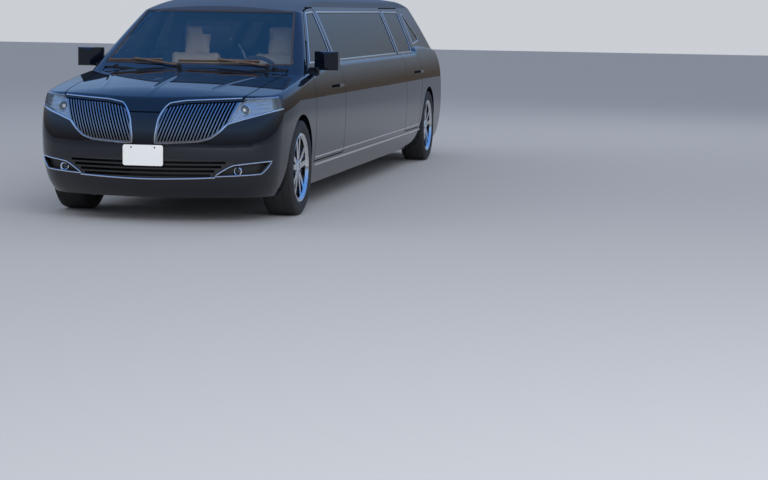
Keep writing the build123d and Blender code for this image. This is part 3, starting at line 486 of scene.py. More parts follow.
def woven(name: str, rings: Sequence[Sequence[Vector]], loop: bool = False) -> Object:
    """Surface through a row of rings, closed at its ends.

    Args:
        name: The object's name.
        rings: Closed rings of the same number of points.
        loop: Whether the last ring joins the first.

    Returns:
        The new object.
    """
    across, along = len(rings[0]), len(rings)
    columns, rows = across + 1, along + (1 if loop else 0)
    mesh = bmesh.new()
    bmesh.ops.create_grid(mesh, x_segments=columns - 1, y_segments=rows - 1, size=1.0)
    for vertex in mesh.verts:
        column = round((vertex.co.x + 1.0) / 2.0 * (columns - 1))
        row = round((vertex.co.y + 1.0) / 2.0 * (rows - 1))
        vertex.co = rings[row % along][column % across]
    bmesh.ops.remove_doubles(mesh, verts=mesh.verts[:], dist=WELD)
    if not loop:
        bmesh.ops.holes_fill(mesh, edges=mesh.edges[:], sides=0)
    return as_object(name, mesh)


@dataclass
class Strip:
    """A narrow trim strip laid on a surface."""

    width: float = 0.008
    proud: float = 0.004
    sunk: float = 0.0015

    def outline(self) -> Outline:
        """Section as (across, out) points."""
        w, h, s = self.width / 2, self.proud, self.sunk
        return [(-w, -s), (-w, 0.55 * h), (-0.55 * w, h), (0.55 * w, h), (w, 0.55 * h), (w, -s)]

    def height_share(self, along: float) -> float:
        """Share of the strip's height at a place from 0 to 1 along it."""
        return 1.0

    def lay(self, name: str, path: Path, body: str, finish: Finish,
            closed: bool = False) -> Object:
        """Builds the strip along a path.

        Args:
            name: The piece's name.
            path: Points and outward normals.
            body: The body it rides on.
            finish: Its finish.
            closed: Whether the path is a closed line.

        Returns:
            The new piece.
        """
        rings = []
        ways = headings([place for place, _ in path], closed)
        for index, ((place, normal), along) in enumerate(zip(path, ways)):
            across = along.cross(normal).normalized()
            out = across.cross(along).normalized()
            share = self.height_share(index / (len(path) - 1))
            rings.append([place + across * a + out * (b * share if b > 0 else b) for a, b in self.outline()])
        return piece(woven(name, rings, loop=closed), body, finish)


def piece(made: Object, body: str, finish: Finish) -> Object:
    """Gives a new piece its finish, shading and body.

    Args:
        made: The object.
        body: The body it rides on.
        finish: Its finish.

    Returns:
        The object.
    """
    made.data.materials.clear()
    made.data.materials.append(finish.material())
    for polygon in made.data.polygons:
        polygon.use_smooth = True
    made.data.set_sharp_from_angle(angle=SHARP_ANGLE)
    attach(made, body)
    LOG.info("%s: %d faces on %s", made.name, len(made.data.polygons), body)
    return made


def swept_rod(name: str, points: Sequence[Triple], radius: float, sides: int = 10,
              loop: bool = False) -> Object:
    """Round rod along points.

    Args:
        name: The object's name.
        points: The rod's middle line.
        radius: Its radius.
        sides: Faces round it.
        loop: Whether it closes on itself.

    Returns:
        The new object.
    """
    line = [Vector(point) for point in points]
    rings = []
    guide = Vector((0.13, 0.31, 0.94)).normalized()
    for place, along in zip(line, headings(line, loop)):
        across = along.cross(guide).normalized()
        out = across.cross(along).normalized()
        rings.append([place + radius * (math.cos(turn) * across + math.sin(turn) * out)
                      for turn in (math.tau * k / sides for k in range(sides))])
    return woven(name, rings, loop=loop)


def turned(name: str, profile: Outline, middle: Triple, axis: Triple, steps: int = 48) -> Object:
    """Spins a profile of (radius, along) points about an axis.

    Args:
        name: The object's name.
        profile: Points from one end to the other; the first and last may be on the axis.
        middle: Where along is 0.
        axis: The axis direction.
        steps: Steps round it.

    Returns:
        The new object.
    """
    mesh = bmesh.new()
    vertices = [bmesh.ops.create_vert(mesh, co=(radius, 0.0, along))["vert"][0] for radius, along in profile]
    edges = [mesh.edges.new((a, b)) for a, b in zip(vertices, vertices[1:])]
    bmesh.ops.spin(mesh, geom=vertices + edges, cent=(0, 0, 0), axis=(0, 0, 1), angle=math.tau, steps=steps,
                   use_merge=True)
    bmesh.ops.remove_doubles(mesh, verts=mesh.verts[:], dist=WELD)
    bmesh.ops.holes_fill(mesh, edges=mesh.edges[:], sides=0)
    turn = Vector((0, 0, 1)).rotation_difference(Vector(axis)).to_matrix()
    bmesh.ops.rotate(mesh, cent=Vector(), matrix=turn, verts=mesh.verts[:])
    bmesh.ops.translate(mesh, vec=Vector(middle), verts=mesh.verts[:])
    return as_object(name, mesh)


@dataclass
class Plate:
    """A blank number plate with its raised rim and two screws."""

    name: str
    middle: Triple
    facing: float
    body: str
    width: float = 0.305
    height: float = 0.152
    corner: float = 0.016
    thickness: float = 0.002
    screw_across: float = 0.089
    screw_up: float = 0.058

    def build(self) -> None:
        """Builds the plate, its rim and screws."""
        x, y, z = self.middle
        mesh = bmesh.new()
        bmesh.ops.create_grid(mesh, x_segments=1, y_segments=1, size=0.5)
        bmesh.ops.scale(mesh, vec=(self.width, self.height, 1.0), verts=mesh.verts[:])
        bmesh.ops.bevel(mesh, geom=mesh.verts[:], offset=self.corner, segments=5, profile=0.5, affect="VERTICES",
                        material=-1)
        bmesh.ops.inset_region(mesh, faces=mesh.faces[:], thickness=0.004, depth=0.0015)
        field_face = max(mesh.faces, key=lambda face: face.calc_area())
        bmesh.ops.inset_region(mesh, faces=[field_face], thickness=0.003, depth=-0.001)
        bmesh.ops.solidify(mesh, geom=mesh.faces[:], thickness=self.thickness)
        turn = Matrix(((0, 0, self.facing), (self.facing, 0, 0), (0, 1, 0)))
        bmesh.ops.transform(mesh, matrix=turn.to_4x4(), verts=mesh.verts[:])
        bmesh.ops.translate(mesh, vec=(x, y, z), verts=mesh.verts[:])
        piece(as_object(self.name, mesh), self.body, PLATE)
        head = ((0.0, 0.004), (0.004, 0.0035), (0.0055, 0.002), (0.006, 0.0))
        for number, offset in enumerate((-self.screw_across, self.screw_across)):
            middle = (x + self.facing * 0.001, y + offset, z + self.screw_up)
            screw = turned(f"{self.name}_screw_{number}", head, middle, (self.facing, 0, 0), 16)
            piece(screw, self.body, STEEL)


@dataclass
class Brightwork:
    """Bright outlines of the grille and fog lamps, and the strips along the nose."""

    grille: Outline = (
        (0.602, 0.744), (0.545, 0.684), (0.484, 0.638), (0.400, 0.614), (0.250, 0.604), (0.086, 0.600),
        (0.104, 0.770), (0.128, 0.828), (0.150, 0.860), (0.180, 0.890), (0.300, 0.910), (0.674, 0.928),
    )
    under_lamp: Outline = ((0.545, 0.684), (0.602, 0.744), (0.800, 0.806), (0.930, 0.846))
    fog: Outline = ((0.512, 0.358), (0.560, 0.396), (0.640, 0.440), (0.884, 0.466), (0.820, 0.374))
    lower: Outline = ((-0.512, 0.350), (-0.3, 0.342), (0.0, 0.336), (0.3, 0.342), (0.512, 0.350))

    def build(self) -> None:
        """Builds every strip."""
        nose = Skin(("front_bumper", "grilles", "front_lamps", "fog_lamps", "lamp_covers", "intake", "fenders",
                     "hood"))
        # columns: name, points, step between samples, closed, tension, strip
        lines = (
            ("grille_outline", self.grille, 0.02, False, 0.35, Strip(0.009, 0.006)),
            ("lamp_strip", self.under_lamp, 0.02, False, 0.5, Strip(0.010, 0.006)),
            ("fog_outline", self.fog, 0.015, True, 0.25, Strip(0.008, 0.005)),
        )
        for side in Side:
            for name, points, step, closed, tension, strip in lines:
                line = [(y * side.value, z) for y, z in curved(points, step, closed, tension)]
                strip.lay(f"{name}_{side.word}", nose.front(line), "body", CHROME, closed)
        Strip(0.010, 0.006).lay("bumper_strip", nose.front(curved(self.lower, 0.02)), "body", CHROME)


@dataclass
class PressedLine(Strip):
    """A soft ridge pressed in a panel, which runs out to nothing at its edges and ends."""

    steps: int = 12
    run_out: float = 0.25

    def height_share(self, along: float) -> float:
        """Share of the ridge's height at a place from 0 to 1 along it."""
        return min(1.0, min(along, 1.0 - along) / self.run_out)

    def outline(self) -> Outline:
        """Bell-shaped section as (across, out) points."""
        places = [k / self.steps * 2.0 - 1.0 for k in range(self.steps + 1)]
        bell = [(self.width / 2 * t, self.proud * math.cos(t * math.pi / 2) ** 2 - 0.0004) for t in places]
        return [(-self.width / 2, -self.sunk), *bell, (self.width / 2, -self.sunk)]


@dataclass
class HoodLines:
    """The hood's middle ridge and the line pressed on each side of it."""

    middle: Outline = ((-0.170, 0.0), (0.200, 0.0), (0.500, 0.0), (0.760, 0.0), (0.930, 0.0))
    outer: Outline = ((-0.120, 0.640), (0.100, 0.560), (0.350, 0.490), (0.600, 0.440), (0.760, 0.415))

    def build(self) -> None:
        """Builds the three lines."""
        skin = Skin(("hood",))
        lines = [("hood_ridge", self.middle, 1, 0.085, 0.0050)]
        lines += [(f"hood_line_{side.word}", self.outer, side.value, 0.060, 0.0035) for side in Side]
        for name, outline, sign, width, height in lines:
            path = skin.top((FRONT_AXLE + x, y * sign) for x, y in curved(outline, 0.03))
            PressedLine(width, height, 0.003).lay(name, path, "hood", PAINT)


@dataclass
class SideTrim:
    """Bright strips along the sides and round the windows."""

    edge: Strip = field(default_factory=lambda: Strip(0.014, 0.004))
    # columns: name, body, node, from and to ahead of the front axle, height, width, proud; {side} is filled in
    strips: Sequence[tuple[str, str, str, float, float, float, float, float]] = (
        ("sill_strip", "body", "rockers", -0.53, -5.58, 0.352, 0.022, 0.007),
        ("panel_strip", "body", "stretch_sides", -1.655, -4.682, 0.412, 0.015, 0.005),
        ("front_door_strip", "front_door_{side}", "door_front_{side}", -0.52, -1.634, 0.412, 0.015, 0.005),
        ("rear_door_strip", "rear_door_{side}", "door_rear_{side}", -4.704, -5.50, 0.412, 0.015, 0.005),
    )
    # columns: name, body, node, outline as (ahead of the front axle, height)
    frames: Sequence[tuple[str, str, str, Outline]] = (
        ("front_glass_edge", "front_door_{side}", "door_front_{side}",
         ((-0.700, 1.155), (-1.222, 1.503), (-1.300, 1.550), (-1.597, 1.559), (-1.582, 1.155))),
        ("side_glass_edge", "body", "stretch_sides",
         ((-1.710, 1.155), (-1.722, 1.558), (-4.643, 1.558), (-4.643, 1.155))),
        ("rear_glass_edge", "rear_door_{side}", "door_rear_{side}",
         ((-4.763, 1.155), (-4.768, 1.558), (-5.598, 1.554), (-5.548, 1.205), (-5.493, 1.155))),
        ("quarter_glass_edge", "body", "quarters",
         ((-5.758, 1.228), (-5.788, 1.538), (-5.862, 1.530), (-6.187, 1.292), (-6.160, 1.258))),
    )

    def build(self) -> None:
        """Builds the trim of both sides."""
        for side in Side:
            word = side.word
            for name, body, node, start, end, height, width, proud in self.strips:
                skin = Skin((node.format(side=word),))
                count = max(2, round((start - end) / 0.06))
                line = [(FRONT_AXLE + start + (end - start) * k / count, height) for k in range(count + 1)]
                Strip(width, proud).lay(f"{name}_{word}", skin.side(line, side), body.format(side=word), CHROME)
            for name, body, node, outline in self.frames:
                skin = Skin((node.format(side=word),))
                line = [(FRONT_AXLE + x, z) for x, z in curved(outline, 0.03, closed=True, tension=0.0)]
                self.edge.lay(f"{name}_{word}", skin.side(line, side), body.format(side=word), CHROME, closed=True)


@dataclass
class MirrorTrim:
    """The glass of both door mirrors."""

    width: float = 0.160
    height: float = 0.108
    thickness: float = 0.004
    rounding: float = 0.0019
    from_outer: float = 0.1015
    from_top: float = 0.075

    def build(self) -> None:
        """Builds the glass of both mirrors."""
        for side in Side:
            low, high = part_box(f"mirror_{side.word}")
            y = side.value * (max(abs(low[1]), abs(high[1])) - self.from_outer)
            face = shaped(f"mirror_glass_{side.word}", (low[0] - 0.0005, y, high[2] - self.from_top),
                          (self.thickness, self.width, self.height), self.rounding)
            piece(face, f"front_door_{side.word}", MIRROR)


@dataclass
class GlassSeals:
    """Rubber seals laid on the edges of the windscreen and the liftgate's glass."""

    screen: Outline = ((-0.760, 1.146), (0.760, 1.146), (0.624, 1.556), (-0.624, 1.556))
    gate: Outline = ((-0.678, 1.213), (0.678, 1.213), (0.500, 1.548), (-0.500, 1.548))
    band: Strip = field(default_factory=lambda: Strip(0.018, 0.004, 0.003))

    def build(self) -> None:
        """Builds both seals."""
        screen, gate = (curved(outline, 0.02, closed=True, tension=0.0) for outline in (self.screen, self.gate))
        self.band.lay("windscreen_seal", Skin(("windshield",)).front(screen), "body", SEAL, closed=True)
        self.band.lay("liftgate_seal", Skin(("liftgate_glass",)).back(gate), "liftgate", SEAL, closed=True)


@dataclass
class Wipers:
    """Two wipers resting at the foot of the windscreen."""

    # columns: name, blade from (y, z), blade to (y, z), pivot (y, z)
    sets: Sequence[tuple[str, Pair, Pair, Pair]] = (
        ("left", (-0.12, 1.158), (0.52, 1.163), (0.59, 1.132)),
        ("right", (-0.74, 1.150), (-0.26, 1.163), (-0.10, 1.128)),
    )
    cap: Outline = ((0.0, 0.022), (0.012, 0.021), (0.017, 0.016), (0.019, -0.012))

    def build(self) -> None:
        """Builds blades, arms and pivots."""
        glass = Skin(("windshield", "front_frame", "hood"))
        for name, start, end, pivot in self.sets:
            line = [(start[0] + (end[0] - start[0]) * k / 16, start[1] + (end[1] - start[1]) * k / 16)
                    for k in range(17)]
            for part, lift, strip in (("blade", 0.006, Strip(0.008, 0.012, 0.005)),
                                      ("spine", 0.013, Strip(0.012, 0.006, 0.001))):
                path = [(place + lift * normal, normal) for place, normal in glass.front(line)]
                strip.lay(f"wiper_{part}_{name}", path, "body", DUSTY_RUBBER)
            middle = ((start[0] + end[0]) / 2, (start[1] + end[1]) / 2)
            reach = [(pivot[0] + (middle[0] - pivot[0]) * k / 10, pivot[1] + (middle[1] - pivot[1]) * k / 10)
                     for k in range(11)]
            arm = [(place + (0.008 + 0.018 * k / 10) * normal, normal)
                   for k, (place, normal) in enumerate(glass.front(reach))]
            Strip(0.016, 0.007, 0.002).lay(f"wiper_arm_{name}", arm, "body", DUSTY_RUBBER)
            hub = glass.front([pivot])[0][0]
            cap = turned(f"wiper_pivot_{name}", self.cap, tuple(hub), (0.3, 0.0, 0.95), 24)
            piece(cap, "body", BLACK_PLASTIC)


@dataclass
class WheelTrim:
    """Centre cap, wheel nuts and the bright lip of one wheel."""

    axle: Axle
    side: Side
    nuts: int = 5
    nut_circle: float = 0.057
    lip_radius: float = 0.262
    cap: Outline = ((0.0, 0.098), (0.022, 0.0975), (0.034, 0.094), (0.040, 0.089), (0.0405, 0.084))
    nut: Outline = ((0.0, 0.014), (0.007, 0.013), (0.0095, 0.010), (0.0095, 0.0), (0.013, 0.0), (0.013, -0.002))

    def build(self) -> None:
        """Builds the trim of the wheel."""
        body = f"wheel_{self.axle.word}_{self.side.word}"
        out = (0.0, float(self.side.value), 0.0)
        middle = (self.axle.value, self.side.value * TRACK / 2, AXLE_HEIGHT)

        def at(radius: float, angle: float, along: float) -> Triple:
            """Place on the wheel at a radius, an angle and a distance outboard."""
            return (middle[0] + radius * math.cos(angle), middle[1] + self.side.value * along,
                    middle[2] + radius * math.sin(angle))

        piece(turned(f"cap_{body}", self.cap, middle, out), body, CHROME)
        for number in range(self.nuts):
            angle = math.pi / 2 + (number + 0.5) * 2 * math.pi / self.nuts
            nut = turned(f"nut_{body}_{number}", self.nut, at(self.nut_circle, angle, 0.084), out, 12)
            piece(nut, body, CHROME)
        lip = [at(self.lip_radius, math.tau * k / 96, 0.1135) for k in range(96)]
        piece(swept_rod(f"lip_{body}", lip, 0.0035, 8, loop=True), body, CHROME)


def shaped(name: str, middle: Triple, size: Triple, rounding: float, tilt: float = 0.0,
           segments: int = 3) -> Object:
    """A block with rounded edges, leaning about the Y direction.

    Args:
        name: The object's name.
        middle: Its middle.
        size: Its sides along X, Y and Z.
        rounding: Radius of its edges.
        tilt: Its lean in degrees; its top leans backwards when positive.
        segments: Steps round each edge.

    Returns:
        The new object.
    """
    mesh = bmesh.new()
    bmesh.ops.create_cube(mesh, size=1.0)
    bmesh.ops.scale(mesh, vec=Vector(size), verts=mesh.verts[:])
    bmesh.ops.bevel(mesh, geom=mesh.edges[:], offset=rounding, segments=segments, profile=0.5, affect="EDGES",
                    material=-1)
    turn = Matrix.Rotation(math.radians(-tilt), 3, "Y")
    bmesh.ops.rotate(mesh, cent=Vector(), matrix=turn, verts=mesh.verts[:])
    bmesh.ops.translate(mesh, vec=Vector(middle), verts=mesh.verts[:])
    return as_object(name, mesh)


@dataclass(frozen=True)
class Pad:
    """A padded piece that swells under cloth pressure and is sewn down along its channels."""

    name: str
    middle: Triple
    size: Triple
    tilt: float = 0.0
    channels: tuple[float, ...] = ()
    voxel: float = 0.011
    swell: float = 0.014
    channel_width: float = 0.007
    channel_depth: float = 0.007
    pressure: float = 4.0
    frames: int = 20

    def build(self) -> None:
        """Builds the pad in cream leather."""
        size = tuple(length - 1.2 * self.swell for length in self.size)
        made = shaped(self.name, self.middle, size, 0.32 * min(size), self.tilt, 4)
        remesh = made.modifiers.new("remesh", "REMESH")
        remesh.mode, remesh.voxel_size = "VOXEL", self.voxel
        self._apply(made)
        self._inflate(made)
        self._sew(made)
        made.modifiers.new("smooth", "SUBSURF").levels = 1
        made.modifiers["smooth"].render_levels = 1
        piece(made, "body", LEATHER)

    @staticmethod
    def _apply(made: Object) -> None:
        """Turns an object's modifiers into its mesh."""
        done = bpy.data.meshes.new_from_object(made.evaluated_get(bpy.context.evaluated_depsgraph_get()))
        made.modifiers.clear()
        made.data = done

    def _inflate(self, made: Object) -> None:
        """Swells the pad by a short cloth simulation, no point moving past the swell."""
        start = [vertex.co.copy() for vertex in made.data.vertices]
        cloth = made.modifiers.new("cloth", "CLOTH")
        cloth.settings.use_pressure = True
        cloth.settings.uniform_pressure_force = self.pressure
        cloth.settings.effector_weights.gravity = 0.0
        cloth.collision_settings.use_collision = False
        cloth.point_cache.frame_start, cloth.point_cache.frame_end = 1, self.frames
        for step in range(1, self.frames + 1):
            bpy.context.scene.frame_set(step)
        self._apply(made)
        bpy.context.scene.frame_set(1)
        for vertex, before in zip(made.data.vertices, start):
            move = vertex.co - before
            if move.length > self.swell:
                vertex.co = before + move * (self.swell / move.length)

    def _sew(self, made: Object) -> None:
        """Presses the channels in along the pad's width, fading out at its edges."""
        turn = Matrix.Rotation(math.radians(self.tilt), 3, "Y")
        middle = Vector(self.middle)
        for vertex in made.data.vertices:
            local = turn @ (vertex.co - middle)
            depth = sum(math.exp(-(((local.y - y) / self.channel_width) ** 2)) for y in self.channels)
            inward = Vector((-local.x, 0.0, -local.z))
            if depth and inward.length:
                vertex.co += turn.inverted() @ (inward.normalized() * self.channel_depth * min(depth, 1.0))


@dataclass
class FrontSeat:
    """One front seat: plinth, cushion, back, headrest and its posts."""

    side: Side
    x: float = FRONT_AXLE - 1.110
    y: float = 0.370

    def build(self) -> None:
        """Builds the seat."""
        y, x, word = self.y * self.side.value, self.x, self.side.word
        plinth = piece(shaped(f"seat_plinth_{word}", (x - 0.21, y, 0.385), (0.40, 0.42, 0.165), 0.02), "body", TRIM)
        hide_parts("front_seats")
        Pad(f"seat_cushion_{word}", (x - 0.20, y, 0.535), (0.51, 0.49, 0.135), 5.5, (-0.13, 0.13)).build()
        Pad(f"seat_back_{word}", (x - 0.487, y, 0.900), (0.120, 0.46, 0.66), 17.5, (-0.14, 0.14)).build()
        Pad(f"headrest_{word}", (x - 0.622, y, 1.305), (0.095, 0.235, 0.265), 12.0).build()
        for mark, offset in (("a", -0.045), ("b", 0.045)):
            line = [(x - 0.585, y + offset, 1.19), (x - 0.625, y + offset, 1.32)]
            piece(swept_rod(f"headrest_post_{word}_{mark}", line, 0.006), "body", CHROME)


@dataclass
class Interior:
    """What shows through the glass: seats, partition and lounge pads, inside mirror and steering wheel."""

    def build(self) -> None:
        """Builds the cabin's pieces."""
        for side in Side:
            FrontSeat(side).build()
        Pad("partition_pad", (FRONT_AXLE - 1.838, 0.0, 0.90), (0.040, 1.28, 0.52), 0.0, (-0.32, 0.0, 0.32), 0.014,
            0.008).build()
        self.lounge()
        self.rear_mirror()
        self.wheel_rim()

    def lounge(self) -> None:
        """Builds the long side bench and the rear bench."""
        start, end, parts = FRONT_AXLE - 4.50, FRONT_AXLE - 2.15, 4
        plinth = piece(shaped("bench_plinth", ((start + end) / 2, -0.555, 0.385), (end - start, 0.43, 0.16), 0.012),
                       "body", TRIM)
        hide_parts("lounge_seats")
        length = (end - start) / parts
        for number in range(parts):
            x = start + (number + 0.5) * length
            width = length - 0.006
            Pad(f"bench_cushion_{number}", (x, -0.540, 0.545), (width, 0.43, 0.16), voxel=0.014).build()
            Pad(f"bench_back_{number}", (x, -0.720, 0.845), (width, 0.105, 0.41), voxel=0.014, swell=0.012).build()
        x = REAR_AXLE + 0.74
        piece(shaped("rear_bench_plinth", (x, 0.0, 0.39), (0.50, 1.20, 0.17), 0.012), "body", TRIM)
        for number, y in enumerate((-0.405, 0.0, 0.405)):
            Pad(f"rear_cushion_{number}", (x + 0.02, y, 0.555), (0.50, 0.400, 0.17), 2.0, voxel=0.014).build()
            Pad(f"rear_back_{number}", (REAR_AXLE + 0.535, y, 0.920), (0.11, 0.400, 0.60), 7.0, voxel=0.014,
                swell=0.012).build()

    def rear_mirror(self) -> None:
        """Builds the inside mirror and its stalk."""
        x = FRONT_AXLE - 0.93
        piece(shaped("inside_mirror", (x - 0.03, 0.0, 1.400), (0.022, 0.235, 0.062), 0.010), "body", BLACK_PLASTIC)
        line = [(x - 0.02, 0.0, 1.410), (x + 0.005, 0.0, 1.455), (x + 0.010, 0.0, 1.490)]
        piece(swept_rod("inside_mirror_stalk", line, 0.007), "body", BLACK_PLASTIC)

    def wheel_rim(self) -> None:
        """Gives the steering wheel a smooth round rim over the plain one, and a padded hub."""
        middle = Vector((FRONT_AXLE - 0.930, 0.370, 1.022))
        axis = Vector((-0.9, 0.0, 0.42)).normalized()
        across = Vector((0.0, 1.0, 0.0))
        upward = axis.cross(across).normalized()
        ring = [middle + 0.182 * (math.cos(turn) * across + math.sin(turn) * upward)
                for turn in (math.tau * k / 72 for k in range(72))]
        piece(swept_rod("steering_rim", ring, 0.0165, 14, loop=True), "body", TRIM)
        hub = turned("steering_hub", ((0.0, 0.034), (0.035, 0.032), (0.058, 0.026), (0.068, 0.017), (0.070, 0.0),
                                      (0.060, -0.014)), tuple(middle), tuple(axis), 40)
        piece(hub, "body", TRIM)


@dataclass
class Lamps:
    """Lenses, bezels and reflector ribs inside the head and fog lamps; the head lamp's lens carries a white dome in
    its middle as a painted highlight.
    """

    head: Triple = (FRONT_AXLE + 0.788, 0.694, 0.842)
    fog: Triple = (FRONT_AXLE + 0.861, 0.665, 0.397)
    rib_heights: Sequence[float] = (0.815, 0.845, 0.875, 0.905)
    # columns: name, (radius, along) profile, set back, steps round, finish
    head_pieces: Sequence[tuple[str, Outline, float, int, Finish]] = (
        ("lens", ((0.0, 0.012), (0.014, 0.011), (0.026, 0.007), (0.034, 0.001), (0.035, -0.004)), 0.008, 32, LENS),
        # the white dome in the middle of the head lamp's lens is a painted highlight: a pale piece put where the
        # lens shows its glint
        ("lens_core", ((0.0, 0.016), (0.008, 0.0145), (0.014, 0.010), (0.015, 0.004)), 0.008, 24, PLATE),
        ("ring", ((0.036, -0.004), (0.036, 0.004), (0.040, 0.009), (0.046, 0.006), (0.049, 0.0), (0.049, -0.004),
                  (0.036, -0.004)), 0.0, 40, CHROME),
    )
    fog_pieces: Sequence[tuple[str, Outline, float, int, Finish]] = (
        ("lens", ((0.0, 0.008), (0.010, 0.007), (0.019, 0.002), (0.0205, -0.008)), 0.010, 32, LENS),
        ("ring", ((0.022, -0.010), (0.022, 0.002), (0.027, 0.006), (0.033, 0.003), (0.034, -0.006),
                  (0.022, -0.010)), 0.0, 40, CHROME),
    )

    def build(self) -> None:
        """Builds the lamps of both sides."""
        for side in Side:
            self.turn_pieces("head", self.head, self.head_pieces, side)
            recess = Skin(("front_lamps",))
            for number, z in enumerate(self.rib_heights):
                line = [((0.752 + 0.010 * k) * side.value, z + 0.0012 * k) for k in range(11)]
                Strip(0.005, 0.016, 0.002).lay(f"lamp_rib_{side.word}_{number}", recess.front(line), "body", CHROME)
            self.turn_pieces("fog", self.fog, self.fog_pieces, side)

    @staticmethod
    def turn_pieces(lamp: str, middle: Triple, rows: Sequence[tuple], side: Side) -> None:
        """Builds the turned pieces of one lamp.

        Args:
            lamp: The lamp's name.
            middle: Its place on the left side.
            rows: The table of its pieces.
            side: Its side.
        """
        x, y, z = middle
        for name, profile, back, steps, finish in rows:
            place = (x - back, y * side.value, z)
            piece(turned(f"{lamp}_{name}_{side.word}", profile, place, (1, 0, 0), steps), "body", finish)


@dataclass
class Tail:
    """Rear plate and tail pipe tips."""

    plate_height: float = 0.86
    pipe_across: float = 0.225
    pipe_height: float = 0.4125
    pipe: Outline = (
        (0.038, -0.04), (0.040, -0.005), (0.042, 0.0), (0.040, 0.001), (0.037, -0.002), (0.035, -0.03),
        (0.035, -0.10), (0.038, -0.04),
    )

    def build(self) -> None:
        """Builds the tail's trim."""
        gate = Skin(("liftgate", "gate_lamp"))
        under = gate.back((y, self.plate_height + z) for y in (-0.15, 0.0, 0.15) for z in (-0.078, 0.0, 0.078))
        rearmost = min(place.x for place, _ in under)
        Plate("rear_plate", (rearmost - 0.001, 0.0, self.plate_height), -1.0, "liftgate").build()
        for side in Side:
            place = (REAR_AXLE - 1.205, self.pipe_across * side.value, self.pipe_height)
            piece(turned(f"tail_pipe_tip_{side.word}", self.pipe, place, (-1, 0, 0), 32), "body", CHROME)


@dataclass
class Dressing:
    """Which finish each CAD node takes."""

    finishes: dict[str, Finish] = field(default_factory=lambda: {
        finish.slot: finish for finish in (
            PAINT, ROOF, CHROME, DARK_GLASS, CLEAR_GLASS, RUBBER, ALLOY, BLACK_PLASTIC, STEEL, RED_LENS, LAMP,
            LEATHER, TRIM, CARPET)
    })

    special: dict[str, Finish] = field(default_factory=lambda: {
        "windshield": SCREEN_GLASS,
        "grilles": DARK_CHROME,
        **{f"tyre_{axle.word}_{side.word}": TREADS[axle] for axle in Axle for side in Side},
    })

    def dress(self) -> None:
        """Gives every CAD node the finish of its slot, or its own."""
        slots = {piece["node"]: piece["material_slot"] for piece in frame["record"]["subparts"]}
        for name, node in frame["nodes"].items():
            finish = self.special.get(name, self.finishes[slots[name]])
            node.data.materials.clear()
            node.data.materials.append(finish.material())
            LOG.info("%s wears %s", name, finish.name)


@dataclass
class PhotoCamera:
    """Camera at the photograph's viewing angle, from the fit to the car's measured features."""

    place: Triple = (FRONT_AXLE + 15.27, 4.42, 1.61)
    yaw: float = 10.44
    pitch: float = 6.55
    roll: float = 0.84
    focal_pixels: float = 2028.1
    frame_width: int = 768
    sensor: float = 36.0

    def build(self) -> None:
        """Creates the camera and makes it the scene's."""
        yaw, pitch, roll = (math.radians(angle) for angle in (self.yaw, self.pitch, self.roll))
        forward = Vector((-math.cos(yaw) * math.cos(pitch), -math.sin(yaw) * math.cos(pitch), -math.sin(pitch)))
        level = Vector((-math.sin(yaw), math.cos(yaw), 0.0))
        upward = level.cross(forward)
        right = math.cos(roll) * level + math.sin(roll) * upward
        up = math.cos(roll) * upward - math.sin(roll) * level
        data = bpy.data.cameras.new("photo_camera")
        data.sensor_width = self.sensor
        data.lens = self.sensor * self.focal_pixels / self.frame_width
        camera = bpy.data.objects.new("photo_camera", data)
        camera.matrix_world = Matrix((
            (right.x, up.x, -forward.x, self.place[0]),
            (right.y, up.y, -forward.y, self.place[1]),
            (right.z, up.z, -forward.z, self.place[2]),
            (0.0, 0.0, 0.0, 1.0),
        ))
        bpy.context.scene.collection.objects.link(camera)
        bpy.context.scene.camera = camera


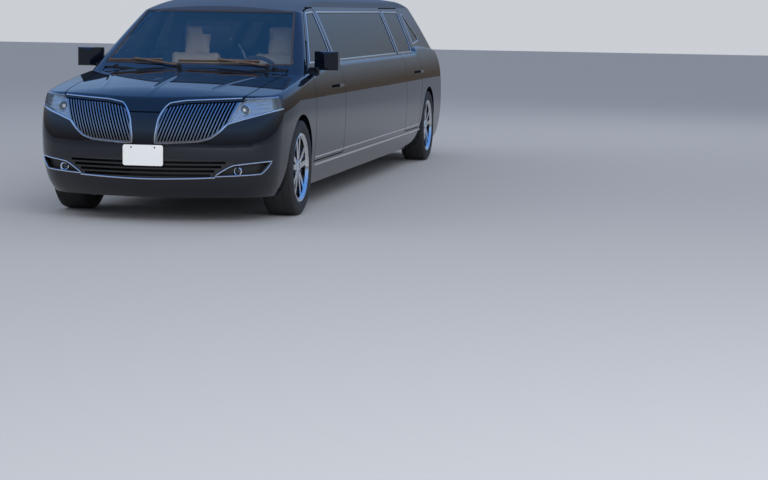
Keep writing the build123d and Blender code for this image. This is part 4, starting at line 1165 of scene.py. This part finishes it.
@dataclass
class Studio:
    """Pale floor, soft lamps and a pale world, whose sky shows blue in polished surfaces."""

    floor_half: float = 60.0
    floor_colour: Triple = (0.38, 0.39, 0.41)
    plain_sky: Colour = (0.60, 0.62, 0.66, 1.0)
    # columns: height of the sky from 0 to 1, colour that polished surfaces show
    mirrored_sky: Sequence[tuple[float, Colour]] = (
        (0.0, (0.13, 0.11, 0.09, 1.0)), (0.10, (0.24, 0.27, 0.32, 1.0)),
        (0.22, (0.30, 0.48, 0.80, 1.0)), (0.70, (0.12, 0.33, 0.85, 1.0)),
    )
    # columns: name, place, side, watts
    lamps: Sequence[tuple[str, Triple, float, float]] = (
        ("key", (14.0, 7.0, 7.5), 12.0, 1500.0),
        ("fill", (3.0, -10.0, 7.0), 6.0, 200.0),
        ("back", (-10.0, 4.0, 9.0), 5.0, 300.0),
    )

    def build(self) -> None:
        """Builds the floor, lamps and world."""
        mesh = bmesh.new()
        bmesh.ops.create_grid(mesh, x_segments=1, y_segments=1, size=self.floor_half)
        floor = as_object("studio_floor", mesh, outward=False)
        shader = Shader("floor")
        shader.feed("Base Color", (*self.floor_colour, 1.0))
        shader.feed("Roughness", 0.9)
        floor.data.materials.append(shader.material)
        world = bpy.data.worlds.new("studio")
        world.use_nodes = True
        sky = Shader.of_world(world)
        direction = sky.node("ShaderNodeTexCoord", output="Generated")
        height = sky.node("ShaderNodeSeparateXYZ", {}, {"Vector": direction}, output="Z")
        band = sky.node("ShaderNodeValToRGB", {"stops": self.mirrored_sky}, {"Fac": height})
        glossy = sky.node("ShaderNodeLightPath", output="Is Glossy Ray")
        sky.feed("Color", sky.tint(glossy, self.plain_sky, band), world.node_tree.nodes["Background"])
        bpy.context.scene.world = world
        for row in self.lamps:
            self.lamp(*row)

    def lamp(self, name: str, place: Triple, size: float, power: float) -> None:
        """Adds one soft lamp aimed at the car, which polished surfaces don't mirror.

        Args:
            name: The lamp's name.
            place: Where it stands.
            size: Its side in metres.
            power: Its power in watts.
        """
        data = bpy.data.lights.new(name, "AREA")
        data.size = size
        data.energy = power
        lamp = bpy.data.objects.new(name, data)
        lamp.location = place
        lamp.visible_glossy = False
        lamp.rotation_euler = (Vector((0.0, 0.0, 0.6)) - Vector(place)).to_track_quat("-Z", "Y").to_euler()
        bpy.context.scene.collection.objects.link(lamp)


def main() -> None:
    """Builds and dresses the car, then the studio and camera."""
    logging.basicConfig(level=logging.INFO, format="%(message)s")
    Dressing().dress()
    wheels = [WheelTrim(axle, side) for axle in Axle for side in Side]
    plate = Plate("front_plate", (FRONT_AXLE + 1.053, 0.0, 0.510), 1.0, "body")
    for part in (Brightwork(), HoodLines(), SideTrim(), MirrorTrim(), GlassSeals(), Wipers(), Lamps(), plate, Tail(),
                 *wheels, Interior(), Studio(), PhotoCamera()):
        part.build()
    bpy.context.scene.view_settings.view_transform = "Standard"


if __name__ == "__main__":
    main()
